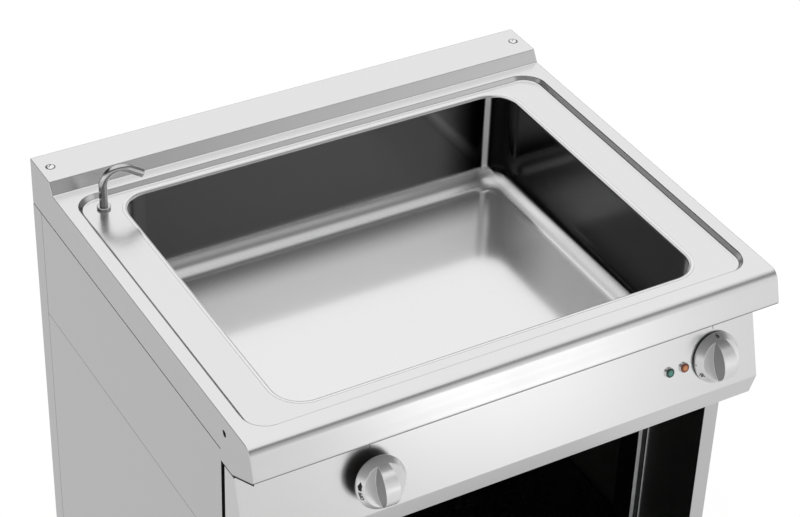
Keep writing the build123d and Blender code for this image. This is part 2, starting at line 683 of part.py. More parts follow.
def side_stiffeners():
    """Folded hat sections standing on the shelf against the inside of both base side panels."""
    x = HALF - PANEL_SHEET
    y = SIDE_FRONT + STIFFENER_SETBACK
    t = PANEL_SHEET
    high = SEAM_Z - PANEL_SHEET
    hat = block((x - STIFFENER_HEIGHT, y, SHELF_Z), (x, y + STIFFENER_WIDTH, high))
    hat -= block((x - STIFFENER_HEIGHT + t, y + t, SHELF_Z), (x, y + STIFFENER_WIDTH - t, high))
    hat += block((x - t, y - STIFFENER_LIP, SHELF_Z), (x, y + t, high))
    hat += block((x - t, y + STIFFENER_WIDTH - t, SHELF_Z), (x, y + STIFFENER_WIDTH + STIFFENER_LIP, high))
    return Compound(list(both_sides(hat)))


def leg_places():
    """Name and plan position of each leg."""
    return [
        ("front_left", -LEG_X, LEG_FRONT_Y),
        ("front_right", LEG_X, LEG_FRONT_Y),
        ("rear_left", -LEG_X, LEG_REAR_Y),
        ("rear_right", LEG_X, LEG_REAR_Y),
    ]


def leg_sleeves():
    """The four leg tubes, each welded to a square plate under the base."""
    plate_z = LEG_HEIGHT - LEG_PLATE_SHEET
    half = LEG_PLATE / 2
    sleeve = block((-half, -half, plate_z), (half, half, LEG_HEIGHT))
    sleeve += peg(SLEEVE_RADIUS, SLEEVE_FOOT, plate_z)
    sleeve -= peg(FOOT_RADIUS + FOOT_PLAY, SLEEVE_FOOT, plate_z)
    return Compound([Pos(x, y, 0) * sleeve for _, x, y in leg_places()])


def foot():
    """One screw foot: a round plunger in the leg tube with a wider pad on the floor."""
    pad = peg(FOOT_PAD_RADIUS, 0, FOOT_PAD_HEIGHT)
    pad = chamfer(pad.edges().filter_by(GeomType.CIRCLE), FOOT_CHAMFER)
    return pad + peg(FOOT_RADIUS, FOOT_PAD_HEIGHT, FOOT_TOP)


def grip_outline(middle, end, z):
    """The leaf-shaped plan of the knob's grip at one height, as long as the knob's shoulder is wide."""
    half = KNOB_SHOULDER_RADIUS
    right = ThreePointArc((end / 2, -half), (middle / 2, 0), (end / 2, half))
    left = ThreePointArc((-end / 2, half), (-middle / 2, 0), (-end / 2, -half))
    top = Line((end / 2, half), (-end / 2, half))
    bottom = Line((-end / 2, -half), (end / 2, -half))
    return Pos(0, 0, z) * make_face([right, top, left, bottom])


def knob(bore, bore_depth):
    """A round knob: conical skirt, dished face, arched grip, hollow back with a hub for the spindle."""
    skirt = Polyline(
        (0, 0), (KNOB_RADIUS, 0), (KNOB_RADIUS, KNOB_RIM), (KNOB_SHOULDER_RADIUS, KNOB_SHOULDER),
        (0, KNOB_SHOULDER), close=True)
    body = revolve(Plane.XZ * make_face(skirt), axis=Axis.Z)
    ball = (KNOB_SHOULDER_RADIUS**2 + KNOB_DISH**2) / (2 * KNOB_DISH)
    seat = KNOB_SHOULDER - KNOB_DISH
    body -= Pos(0, 0, seat + ball) * Sphere(ball)
    foot_z = KNOB_SHOULDER - 2 * KNOB_DISH
    draft = (GRIP_BASE_WIDTH - GRIP_TOP_WIDTH) / 2
    base = grip_outline(GRIP_BASE_WIDTH, GRIP_END_WIDTH + draft, foot_z)
    crown = grip_outline(GRIP_TOP_WIDTH, GRIP_END_WIDTH, KNOB_HEIGHT)
    grip = loft([base, crown], ruled=True)
    half = KNOB_SHOULDER_RADIUS
    arch = make_face([
        ThreePointArc((-half, KNOB_SHOULDER), (0, KNOB_HEIGHT), (half, KNOB_SHOULDER)),
        Polyline((half, KNOB_SHOULDER), (half, foot_z), (-half, foot_z), (-half, KNOB_SHOULDER)),
    ])
    grip &= extrude(Plane.YZ * arch, GRIP_BASE_WIDTH, both=True)
    grip &= peg(KNOB_SHOULDER_RADIUS, foot_z, KNOB_HEIGHT)
    body += grip
    depth = seat - KNOB_WALL
    hollow = Cone(KNOB_RADIUS - KNOB_WALL, KNOB_SHOULDER_RADIUS - KNOB_WALL, depth)
    body -= Pos(0, 0, depth / 2) * hollow
    body += peg(HUB_RADIUS, PASSAGE, KNOB_SHOULDER)
    return body - peg(bore, 0, bore_depth)


def knob_at(x, standoff, bore):
    """A knob on the control panel, with its rim a distance off the panel."""
    return panel_frame(x) * (Pos(0, 0, standoff) * knob(bore, SPINDLE_GRIP))


def thermostat_ring():
    """The black ring on the panel behind the thermostat knob."""
    ring = peg(RING_RADIUS, 0, RING_THICKNESS) - peg(HUB_RADIUS + PASSAGE, 0, RING_THICKNESS)
    return panel_frame(THERMOSTAT_X) * ring


def thermostat_body():
    """The capillary thermostat behind the panel, its bush passing through the panel."""
    back = -PANEL_SHEET - THERMOSTAT_DEEP
    half_u = THERMOSTAT_WIDTH / 2
    half_v = THERMOSTAT_TALL / 2
    case = block((-half_u, -half_v, back), (half_u, half_v, -PANEL_SHEET))
    case = fillet(case.edges().filter_by(Axis.Z), BEND_RADIUS)
    case += peg(BUSH_RADIUS, -PANEL_SHEET, PASSAGE)
    case -= peg(SPINDLE_RADIUS + RUNNING_FIT, back / 2 - RUNNING_FIT, PASSAGE)
    return panel_frame(THERMOSTAT_X) * case


def thermostat_spindle():
    """The thermostat's turning spindle."""
    low = (-PANEL_SHEET - THERMOSTAT_DEEP) / 2
    return panel_frame(THERMOSTAT_X) * peg(SPINDLE_RADIUS, low, THERMOSTAT_STANDOFF + SPINDLE_GRIP)


def capillary(start, y, rest):
    """A sensing bulb under the basin and its tube through the remaining points."""
    z = BASIN_UNDER - BULB_RADIUS + BULB_FLAT
    end = start + BULB_LENGTH
    bulb = Pos(start, y, z) * (Rot(0, 90, 0) * peg(BULB_RADIUS, 0, BULB_LENGTH))
    bulb -= block((start, y - BULB_RADIUS, BASIN_UNDER), (end, y + BULB_RADIUS, TOP_Z))
    corner_x, _, _ = rest[0]
    return bulb + tube([(end, y, z), (corner_x, y, z)] + rest, CAPILLARY_RADIUS, CAPILLARY_BEND)


def capillary_tubes():
    """The bulbs and capillary tubes of the thermostat and the safety thermostat."""
    tilt = radians(FRONT_TILT)
    middle = PANEL_SHEET + THERMOSTAT_DEEP / 2
    case_y = KNOB_Y + middle * cos(tilt)
    case_z = TOP_Z - KNOB_DROP - middle * sin(tilt) - THERMOSTAT_TALL / 2 / cos(tilt)
    case_z -= CAPILLARY_RADIUS * SLOPE
    run_z = BASIN_UNDER - 2 * BULB_RADIUS - 2 * CAPILLARY_BEND
    y = ELEMENT_Y + 2.5 * ELEMENT_PITCH
    run = [(THERMOSTAT_X, y, run_z), (THERMOSTAT_X, case_y, run_z), (THERMOSTAT_X, case_y, case_z)]
    first = capillary(CLAMP_PITCH / 2 - BULB_LENGTH / 2, y, run)
    y = ELEMENT_Y + 0.5 * ELEMENT_PITCH
    entry_z = FLOOR_Z + PANEL_SHEET + SAFETY_TALL / 2
    entry_y = FRONT + SAFETY_SETBACK + SAFETY_WIDTH / 2
    run = [(SAFETY_X, y, entry_z), (SAFETY_X, entry_y, entry_z)]
    second = capillary(-CLAMP_PITCH / 2 - BULB_LENGTH / 2, y, run)
    return Compound([first, second])


def safety_thermostat():
    """The limiter on the compartment floor; its button is reached from the cabinet."""
    half = SAFETY_WIDTH / 2
    low = FLOOR_Z + PANEL_SHEET
    case = block((-half, -half, low), (half, half, low + SAFETY_TALL))
    case = fillet(case.edges().filter_by(Axis.Z), BEND_RADIUS)
    bore_top = low + BUTTON_DEPTH + BUTTON_TRAVEL + PASSAGE
    case -= peg(BUTTON_RADIUS + 2 * RUNNING_FIT, low, bore_top)
    return Pos(SAFETY_X, FRONT + SAFETY_SETBACK, 0) * case


def reset_button():
    """The limiter's reset button, pushed upwards."""
    low = FLOOR_Z - BUTTON_REACH
    button = peg(BUTTON_RADIUS, low, FLOOR_Z + PANEL_SHEET + BUTTON_DEPTH)
    button = fillet(button.edges().sort_by(Axis.Z)[0], PASSAGE)
    return Pos(SAFETY_X, FRONT + SAFETY_SETBACK, 0) * button


def valve_middle():
    """The centre of the water valve, behind the panel."""
    tilt = radians(FRONT_TILT)
    depth = PANEL_SHEET + VALVE_DEEP / 2
    return WATER_X, KNOB_Y + depth * cos(tilt), TOP_Z - KNOB_DROP - depth * sin(tilt)


def water_valve_body():
    """The water valve: a round body with a threaded bush, one port down and one to the left."""
    back = -PANEL_SHEET - VALVE_DEEP
    body = peg(VALVE_RADIUS, back, -PANEL_SHEET) + peg(VALVE_BUSH_RADIUS, -PANEL_SHEET, VALVE_BUSH_REACH)
    body -= peg(VALVE_SPINDLE_RADIUS + RUNNING_FIT, back / 2 - RUNNING_FIT, VALVE_BUSH_REACH)
    body = panel_frame(WATER_X) * body
    x, y, z = valve_middle()
    bore = panel_frame(WATER_X) * peg(VALVE_SPINDLE_RADIUS + RUNNING_FIT, back / 2 - RUNNING_FIT, 0)
    down = Pos(x, y, z) * peg(VALVE_PORT, -VALVE_PORT_REACH, 0)
    left = Pos(x, y, z) * (Rot(0, -90, 0) * peg(VALVE_PORT, 0, VALVE_PORT_REACH))
    return body + (down - bore) + (left - bore)


def water_valve_locknut():
    """The nut that holds the valve to the panel."""
    nut = hex_bar(LOCKNUT_RADIUS, 0, LOCKNUT_HEIGHT) - peg(VALVE_BUSH_RADIUS, 0, LOCKNUT_HEIGHT)
    return panel_frame(WATER_X) * nut


def water_spindle():
    """The water valve's turning spindle."""
    low = (-PANEL_SHEET - VALVE_DEEP) / 2
    return panel_frame(WATER_X) * peg(VALVE_SPINDLE_RADIUS, low, WATER_STANDOFF + SPINDLE_GRIP)


def water_inlet():
    """The threaded water connection on the rear panel, with a flange outside and a nut inside."""
    fitting = hex_bar(FITTING_FLANGE_RADIUS, 0, FITTING_FLANGE)
    fitting += peg(INLET_THREAD_RADIUS, FITTING_FLANGE, FITTING_FLANGE + INLET_THREAD_LENGTH)
    fitting += peg(INLET_THREAD_RADIUS, -PANEL_SHEET, 0)
    fitting += hex_bar(FITTING_FLANGE_RADIUS, -PANEL_SHEET - FITTING_NUT, -PANEL_SHEET)
    return Plane(origin=(INLET_X, BACK_Y + PANEL_SHEET, SERVICE_Z), z_dir=(0, 1, 0)) * fitting


def inlet_pipe():
    """The pipe from the rear connection, under the basin, up into the valve."""
    x, y, z = valve_middle()
    start = BACK_Y - FITTING_NUT
    run = [
        (INLET_X, start, SERVICE_Z), (INLET_X, y, SERVICE_Z), (x, y, SERVICE_Z), (x, y, z - VALVE_PORT_REACH)]
    return tube(run, PIPE_RADIUS, PIPE_BEND)


def outlet_pipe():
    """The pipe from the valve along the left of the basin up to the spout."""
    x, y, z = valve_middle()
    run = [(x - VALVE_PORT_REACH, y, z), (SPOUT_X, y, z), (SPOUT_X, SPOUT_Y, z),
           (SPOUT_X, SPOUT_Y, TOP_Z - SPOUT_TAIL)]
    return tube(run, PIPE_RADIUS, PIPE_BEND)


def spout_path():
    """The centre line of the spout, seen from the side: up, over and dipping towards the basin."""
    dip = radians(SPOUT_DIP)
    rise = Line((0, -SPOUT_TAIL), (0, SPOUT_RISE))
    arc_end = (SPOUT_BEND * (1 + sin(dip)), SPOUT_RISE + SPOUT_BEND * cos(dip))
    half_turn = radians((90 + SPOUT_DIP) / 2)
    arc_middle = (SPOUT_BEND * (1 - cos(half_turn)), SPOUT_RISE + SPOUT_BEND * sin(half_turn))
    bend = ThreePointArc((0, SPOUT_RISE), arc_middle, arc_end)
    tail = Line(arc_end, (arc_end[0] + SPOUT_END * cos(dip), arc_end[1] - SPOUT_END * sin(dip)))
    return Wire([rise, bend, tail])


def spout():
    """The bent filling spout, an open tube through the worktop."""
    turn = radians(SPOUT_TURN)
    ahead = (cos(turn), -sin(turn), 0)
    across = (-sin(turn), -cos(turn), 0)
    side = Plane(origin=(SPOUT_X, SPOUT_Y, TOP_Z), x_dir=ahead, z_dir=across)
    path = side * spout_path()
    place = Plane(origin=path @ 0, z_dir=path % 0)
    pipe = sweep(place * Circle(SPOUT_RADIUS), path=path)
    return pipe - sweep(place * Circle(SPOUT_BORE), path=path)


def spout_nut():
    """The round collar nut at the foot of the spout."""
    nut = peg(SPOUT_NUT_RADIUS, 0, SPOUT_NUT_HEIGHT)
    nut = fillet(nut.edges().sort_by(Axis.Z)[-1], SPOUT_NUT_ROUND)
    nut -= peg(SPOUT_RADIUS, 0, SPOUT_NUT_HEIGHT)
    return Pos(SPOUT_X, SPOUT_Y, LAND_Z) * nut


def lamp_places():
    """The two pilot lamps' frames on the panel."""
    return [panel_frame(x) for x in (LAMP_GREEN_X, LAMP_ORANGE_X)]


def lamp_bezels():
    """The chrome rings of the pilot lamps."""
    ring = peg(BEZEL_RADIUS, 0, BEZEL_HEIGHT)
    ring = fillet(ring.edges().sort_by(Axis.Z)[-1], EDGE_ROUND)
    ring -= peg(LAMP_BODY_RADIUS, 0, BEZEL_HEIGHT)
    ring -= peg(LENS_RADIUS, LENS_SEAT, BEZEL_HEIGHT)
    return Compound([place * ring for place in lamp_places()])


def lamp_lens(x):
    """One pilot lamp lens, seated in its bezel."""
    lens = peg(LENS_RADIUS, LENS_SEAT, LENS_HEIGHT)
    lens = fillet(lens.edges().sort_by(Axis.Z)[-1], LENS_ROUND)
    return panel_frame(x) * lens


def lamp_bodies():
    """The lamp holders behind the panel."""
    body = peg(LAMP_BODY_RADIUS, -PANEL_SHEET - LAMP_BODY_LENGTH, LENS_SEAT)
    return Compound([place * body for place in lamp_places()])


def element_path():
    """Serpentine of the heating element, both tails on the right."""
    reach = BASIN_WIDTH / 2 - ELEMENT_MARGIN
    points = [(reach + ELEMENT_TAIL, ELEMENT_Y)]
    for leg in range(ELEMENT_LEGS):
        y = ELEMENT_Y + leg * ELEMENT_PITCH
        away = -reach if leg % 2 == 0 else reach
        last = leg == ELEMENT_LEGS - 1
        points.append((away + ELEMENT_TAIL if last else away, y))
        if not last:
            points.append((away, y + ELEMENT_PITCH))
    z = BASIN_UNDER - ELEMENT_RADIUS + ELEMENT_FLAT
    return [(x, y, z) for x, y in points]


def heating_element():
    """The tubular element under the basin, pressed flat above and below."""
    bar = tube(element_path(), ELEMENT_RADIUS, ELEMENT_BEND)
    thick = 2 * (ELEMENT_RADIUS - ELEMENT_FLAT)
    return bar & block((-HALF, FRONT, BASIN_UNDER - thick), (HALF, REAR, BASIN_UNDER))


def clamp_places():
    """Plan positions of the clamp bars and the ends of their span."""
    last = ELEMENT_Y + (ELEMENT_LEGS - 1) * ELEMENT_PITCH
    xs = [(i - (CLAMP_COUNT - 1) / 2) * CLAMP_PITCH for i in range(CLAMP_COUNT)]
    return xs, ELEMENT_Y - CLAMP_OVERHANG, last + CLAMP_OVERHANG


def stud_places():
    """Plan positions of the studs at both ends of each clamp bar."""
    xs, low, high = clamp_places()
    return [(x, y) for x in xs for y in (low + STUD_INSET, high - STUD_INSET)]


def heater_clamps():
    """The flat bars that hold the element against the basin."""
    xs, low, high = clamp_places()
    top = BASIN_UNDER - 2 * (ELEMENT_RADIUS - ELEMENT_FLAT)
    half = CLAMP_WIDTH / 2
    bars = []
    for x in xs:
        bar = block((x - half, low, top - CLAMP_SHEET), (x + half, high, top))
        for y in (low + STUD_INSET, high - STUD_INSET):
            bar -= Pos(x, y, top) * Cylinder(STUD_RADIUS + SCREW_PLAY, 4 * CLAMP_SHEET)
        bars.append(bar)
    return Compound(bars)


def heater_studs():
    """Studs welded under the basin for the clamp bars."""
    return Compound([Pos(x, y, 0) * peg(STUD_RADIUS, BASIN_UNDER - STUD_LENGTH, BASIN_UNDER)
                     for x, y in stud_places()])


def heater_nuts():
    """Nuts under the clamp bars."""
    top = BASIN_UNDER - 2 * (ELEMENT_RADIUS - ELEMENT_FLAT) - CLAMP_SHEET
    nut = hex_bar(NUT_RADIUS, top - NUT_HEIGHT, top) - peg(STUD_RADIUS, top - NUT_HEIGHT, top)
    return Compound([Pos(x, y, 0) * nut for x, y in stud_places()])


def component_plate():
    """The folded plate on the right side panel that carries the terminal block."""
    wall = HALF - PANEL_SHEET
    x = wall - PLATE_STAND
    y = SIDE_REAR - PLATE_REAR - PLATE_LENGTH
    low = FLOOR_Z + PLATE_RISE
    t = PANEL_SHEET
    plate = block((x, y, low), (wall, y + PLATE_LENGTH, low + PLATE_TALL))
    return plate - block((x + t, y, low + t), (wall, y + PLATE_LENGTH, low + PLATE_TALL - t))


def terminal_block():
    """The mains terminal block, one screw well for each conductor."""
    x = HALF - PANEL_SHEET - PLATE_STAND
    y = SIDE_REAR - PLATE_REAR - PLATE_LENGTH / 2
    z = FLOOR_Z + PLATE_RISE + PLATE_TALL / 2
    half_y = BLOCK_LENGTH / 2
    half_z = BLOCK_TALL / 2
    body = block((x - BLOCK_DEEP, y - half_y, z - half_z), (x, y + half_y, z + half_z))
    pitch = BLOCK_LENGTH / TERMINALS
    for i in range(TERMINALS):
        place = Pos(x - BLOCK_DEEP, y - half_y + (i + 0.5) * pitch, z)
        body -= place * (Rot(0, 90, 0) * Cylinder(SCREW_HEAD_RADIUS, BLOCK_DEEP))
    return body


def cable_gland():
    """The mains cable gland on the rear panel, open through its middle."""
    gland = hex_bar(FITTING_FLANGE_RADIUS, 0, FITTING_FLANGE)
    gland += peg(GLAND_RADIUS, FITTING_FLANGE, GLAND_LENGTH)
    gland = fillet(gland.edges().sort_by(Axis.Z)[-1], BEND_RADIUS)
    gland += peg(GLAND_RADIUS - SCREW_HEAD, -PANEL_SHEET, 0)
    gland += hex_bar(FITTING_FLANGE_RADIUS, -PANEL_SHEET - FITTING_NUT, -PANEL_SHEET)
    gland -= peg(GLAND_BORE, -PANEL_SHEET - FITTING_NUT, GLAND_LENGTH)
    return Plane(origin=(GLAND_X, BACK_Y + PANEL_SHEET, SERVICE_Z), z_dir=(0, 1, 0)) * gland


def wiring_loom():
    """The wire bundle from the terminal block along the right side to the panel's lamps."""
    start_x = HALF - PANEL_SHEET - PLATE_STAND - BLOCK_DEEP / 2
    start_y = SIDE_REAR - PLATE_REAR - PLATE_LENGTH / 2
    start_z = FLOOR_Z + PLATE_RISE + PLATE_TALL / 2 - BLOCK_TALL / 2
    side = HALF - LOOM_EDGE
    _, front, _ = valve_middle()
    end_x = (LAMP_GREEN_X + LAMP_ORANGE_X) / 2
    end_z = TOP_Z - KNOB_DROP - LAMP_BODY_RADIUS
    run = [(start_x, start_y, start_z), (start_x, start_y, SERVICE_Z), (side, start_y, SERVICE_Z),
           (side, front, SERVICE_Z), (end_x, front, SERVICE_Z), (end_x, front, end_z)]
    return tube(run, LOOM_RADIUS, LOOM_BEND)


def drain_top():
    """Height of the valve's upper end, where the drain spigot stops."""
    return TOP_Z - BASIN_DEPTH + DRAIN_FLANGE - DRAIN_LENGTH


def drain_outlet():
    """The drain flange on the basin floor with its threaded spigot."""
    top = TOP_Z - BASIN_DEPTH + DRAIN_FLANGE
    flange = peg(DRAIN_FLANGE_RADIUS, top - DRAIN_FLANGE, top)
    flange = chamfer(flange.edges().sort_by(Axis.Z)[-1], DRAIN_FLANGE / 2)
    outlet = flange + peg(DRAIN_RADIUS, drain_top(), top - DRAIN_FLANGE)
    outlet -= peg(DRAIN_BORE, drain_top(), top)
    return Pos(DRAIN_X, DRAIN_Y, 0) * outlet


def drain_gasket():
    """The rubber ring between the basin and the drain nut."""
    low = BASIN_UNDER - GASKET_HEIGHT
    ring = peg(GASKET_RADIUS, low, BASIN_UNDER) - peg(DRAIN_RADIUS, low, BASIN_UNDER)
    return Pos(DRAIN_X, DRAIN_Y, 0) * ring


def drain_nut():
    """The hexagon nut under the gasket."""
    high = BASIN_UNDER - GASKET_HEIGHT
    low = high - DRAIN_NUT_HEIGHT
    return Pos(DRAIN_X, DRAIN_Y, 0) * (hex_bar(DRAIN_NUT_RADIUS, low, high) - peg(DRAIN_RADIUS, low, high))


def valve_height():
    """Height of the drain ball's centre."""
    return drain_top() - DRAIN_VALVE_TALL / 2


def drain_valve_body():
    """The drain ball valve body, square, with a bore, a ball chamber and a stem neck to the front."""
    half = DRAIN_VALVE_SIZE / 2
    tall = DRAIN_VALVE_TALL / 2
    body = block((-half, -half, -tall), (half, half, tall))
    body = fillet(body.edges().filter_by(Axis.Z), BEND_RADIUS)
    body -= Sphere(BALL_RADIUS + BALL_PLAY)
    body -= peg(DRAIN_BORE, -tall, tall)
    body -= Rot(90, 0, 0) * peg(STEM_RADIUS + RUNNING_FIT, 0, half)
    return Pos(DRAIN_X, DRAIN_Y, valve_height()) * body


def drain_ball():
    """The ball, its bore turned across the pipe while the valve is shut."""
    ball = Sphere(BALL_RADIUS) - Rot(0, 90, 0) * Cylinder(DRAIN_BORE, 3 * BALL_RADIUS)
    ball -= Rot(90, 0, 0) * peg(BALL_RADIUS, STEM_FLAT, BALL_RADIUS)
    return Pos(DRAIN_X, DRAIN_Y, valve_height()) * ball


def drain_stem():
    """The stem from the ball out to the lever."""
    reach = DRAIN_VALVE_SIZE / 2 + STEM_REACH
    stem = Rot(90, 0, 0) * peg(STEM_RADIUS, STEM_FLAT, reach)
    return Pos(DRAIN_X, DRAIN_Y, valve_height()) * stem


def drain_lever():
    """The flat lever on the stem, level while the valve is shut."""
    near = DRAIN_VALVE_SIZE / 2 + STEM_REACH / 2
    half = LEVER_WIDTH / 2
    plate = block((0, -near - LEVER_SHEET, -half), (LEVER_LENGTH, -near, half))
    eye = Rot(90, 0, 0) * peg(half, near, near + LEVER_SHEET)
    lever = plate + eye - Rot(90, 0, 0) * peg(STEM_RADIUS, near, near + LEVER_SHEET)
    return Pos(DRAIN_X, DRAIN_Y, valve_height()) * lever


def drain_lever_grip():
    """The soft sleeve on the lever's end."""
    near = DRAIN_VALVE_SIZE / 2 + STEM_REACH / 2
    half = LEVER_WIDTH / 2
    start = LEVER_LENGTH - GRIP_SLEEVE
    end = LEVER_LENGTH + GRIP_WALL
    w = GRIP_WALL
    sleeve = block((start, -near - LEVER_SHEET - w, -half - w), (end, -near + w, half + w))
    sleeve = fillet(sleeve.edges(), GRIP_WALL)
    sleeve -= block((start, -near - LEVER_SHEET, -half), (LEVER_LENGTH, -near, half))
    return Pos(DRAIN_X, DRAIN_Y, valve_height()) * sleeve


def drain_nozzle():
    """The hose nozzle under the valve."""
    high = valve_height() - DRAIN_VALVE_TALL / 2
    nozzle = peg(NOZZLE_RADIUS, high - NOZZLE_LENGTH, high)
    for i in range(NOZZLE_BARBS):
        low = high - NOZZLE_LENGTH + (2 * i + 1) * NOZZLE_BARB_LENGTH
        barb = Cone(NOZZLE_RADIUS, NOZZLE_RADIUS + NOZZLE_BARB, NOZZLE_BARB_LENGTH)
        nozzle += Pos(0, 0, low) * barb
    nozzle -= peg(DRAIN_BORE - NOZZLE_BARB, high - NOZZLE_LENGTH, high)
    return Pos(DRAIN_X, DRAIN_Y, 0) * nozzle


def all_pieces():
    """Every piece of the object under its node name."""
    side_right, side_left = both_sides(upper_side_panel())
    base_right, base_left = both_sides(base_side_panel())
    post_right, post_left = both_sides(screw_holes_rear(rear_post(), SCREW_RADIUS))
    pieces = {
        "worktop": worktop(),
        "basin": basin(),
        "upstand_screws": upstand_screws(),
        "side_panel_left": side_left,
        "side_panel_right": side_right,
        "rear_post_left": post_left,
        "rear_post_right": post_right,
        "rear_panel": rear_panel(),
        "rear_screws": rear_screws(),
        "compartment_floor": compartment_floor(),
        "control_panel": control_panel(),
        "panel_screws": panel_screws(),
        "base_side_left": base_left,
        "base_side_right": base_right,
        "side_stiffeners": side_stiffeners(),
        "base_back": base_back(),
        "base_shelf": base_shelf(),
        "base_front_rail": base_front_rail(),
        "leg_sleeves": leg_sleeves(),
        "thermostat_knob": knob_at(THERMOSTAT_X, THERMOSTAT_STANDOFF, SPINDLE_RADIUS),
        "thermostat_spindle": thermostat_spindle(),
        "thermostat_ring": thermostat_ring(),
        "thermostat_body": thermostat_body(),
        "capillary_tubes": capillary_tubes(),
        "safety_thermostat": safety_thermostat(),
        "reset_button": reset_button(),
        "water_knob": knob_at(WATER_X, WATER_STANDOFF, VALVE_SPINDLE_RADIUS),
        "water_spindle": water_spindle(),
        "water_valve_body": water_valve_body(),
        "water_valve_locknut": water_valve_locknut(),
        "water_inlet": water_inlet(),
        "inlet_pipe": inlet_pipe(),
        "outlet_pipe": outlet_pipe(),
        "spout": spout(),
        "spout_nut": spout_nut(),
        "lamp_bezels": lamp_bezels(),
        "lamp_lens_green": lamp_lens(LAMP_GREEN_X),
        "lamp_lens_orange": lamp_lens(LAMP_ORANGE_X),
        "lamp_bodies": lamp_bodies(),
        "heating_element": heating_element(),
        "heater_clamps": heater_clamps(),
        "heater_studs": heater_studs(),
        "heater_nuts": heater_nuts(),
        "component_plate": component_plate(),
        "terminal_block": terminal_block(),
        "cable_gland": cable_gland(),
        "wiring_loom": wiring_loom(),
        "drain_outlet": drain_outlet(),
        "drain_gasket": drain_gasket(),
        "drain_nut": drain_nut(),
        "drain_valve_body": drain_valve_body(),
        "drain_ball": drain_ball(),
        "drain_stem": drain_stem(),
        "drain_lever": drain_lever(),
        "drain_lever_grip": drain_lever_grip(),
        "drain_nozzle": drain_nozzle(),
    }
    for name, x, y in leg_places():
        pieces["foot_" + name] = Pos(x, y, 0) * foot()
    return pieces


def main():
    """Build every piece, centre the whole over the origin and write one file for each."""
    pieces = all_pieces()
    boxes = [piece.bounding_box() for piece in pieces.values()]
    front = min(box.min.Y for box in boxes)
    rear = max(box.max.Y for box in boxes)
    shift = -(front + rear) / 2
    print(f"shift along Y {shift:.4f}")
    os.makedirs("parts", exist_ok=True)
    for name, piece in pieces.items():
        export_step(Pos(0, shift, 0) * piece, f"parts/{name}.step")


if __name__ == "__main__":
    main()
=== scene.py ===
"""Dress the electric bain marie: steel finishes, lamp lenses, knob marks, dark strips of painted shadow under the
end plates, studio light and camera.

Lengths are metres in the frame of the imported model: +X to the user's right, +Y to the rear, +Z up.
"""
import json
import logging
import math
from dataclasses import dataclass
from enum import Enum
from typing import Optional, Sequence, Union

import bmesh
import bpy
from mathutils import Matrix, Vector


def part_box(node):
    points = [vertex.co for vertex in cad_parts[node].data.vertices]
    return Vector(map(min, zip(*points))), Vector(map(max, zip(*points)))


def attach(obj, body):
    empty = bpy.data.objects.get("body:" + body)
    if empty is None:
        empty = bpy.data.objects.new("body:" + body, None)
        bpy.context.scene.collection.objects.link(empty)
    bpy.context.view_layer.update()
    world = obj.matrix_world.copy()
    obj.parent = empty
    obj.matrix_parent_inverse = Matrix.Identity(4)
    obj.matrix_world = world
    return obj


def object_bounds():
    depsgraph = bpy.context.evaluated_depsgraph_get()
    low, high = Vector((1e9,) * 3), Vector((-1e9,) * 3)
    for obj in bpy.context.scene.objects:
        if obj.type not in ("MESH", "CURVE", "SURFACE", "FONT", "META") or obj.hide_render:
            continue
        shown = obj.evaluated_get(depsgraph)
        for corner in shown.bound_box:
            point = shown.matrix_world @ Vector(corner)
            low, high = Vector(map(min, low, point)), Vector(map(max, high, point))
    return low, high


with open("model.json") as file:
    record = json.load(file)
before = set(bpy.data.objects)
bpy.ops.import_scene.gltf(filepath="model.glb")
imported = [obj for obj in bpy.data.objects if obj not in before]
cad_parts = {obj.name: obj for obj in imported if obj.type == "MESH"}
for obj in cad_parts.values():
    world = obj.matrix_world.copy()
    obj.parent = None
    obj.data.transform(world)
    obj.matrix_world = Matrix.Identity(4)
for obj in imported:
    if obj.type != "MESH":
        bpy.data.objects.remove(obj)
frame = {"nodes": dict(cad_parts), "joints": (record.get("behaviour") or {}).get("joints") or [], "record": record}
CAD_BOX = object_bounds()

LOG = logging.getLogger("bain_marie")
MM = 0.001
BODY = "body"
WATER_JOINT = "water_turn"
THERMOSTAT_JOINT = "thermostat_turn"
WARM_SHIFT = 0.06

Point = tuple[float, float, float]
Colour = tuple[float, float, float]
Span = tuple[float, float]
Socket = bpy.types.NodeSocket
Outputs = bpy.types.NodeOutputs
Material = bpy.types.Material
Feed = Union[Socket, float]


class Grain(Enum):
    """Direction of the brush lines on a sheet, as the noise stretch along X, Y and Z."""

    ALONG_X = (6.0, 1500.0, 1500.0)
    ALONG_Z = (1500.0, 1500.0, 6.0)


class Effect(Enum):
    """Names of the shared shader groups."""

    BRUSH = "brush_lines"
    CLOUD = "cloud_marks"
    PORES = "moulded_pores"


def linear(value: float) -> float:
    """Turn a display value from 0 to 1 into a linear one."""
    return value / 12.92 if value <= 0.04045 else ((value + 0.055) / 1.055) ** 2.4


def shade(display: float, warm: float = 0.0) -> Colour:
    """Give a grey by its display value, a touch warmer or cooler.

    Args:
        display: The grey as it should look on screen, from 0 to 1.
        warm: How far red rises and blue falls, from -1 to 1.

    Returns:
        The linear colour.
    """
    base = linear(display)
    return (base * (1 + WARM_SHIFT * warm), base, base * (1 - WARM_SHIFT * warm))


def dimmed(colour: Colour, share: float) -> Colour:
    """Darken a colour by a share."""
    return tuple((1.0 - share) * part for part in colour)


def joint_named(name: str) -> dict:
    """Find a joint of the frame by its name."""
    return next(joint for joint in frame["joints"] if joint["name"] == name)


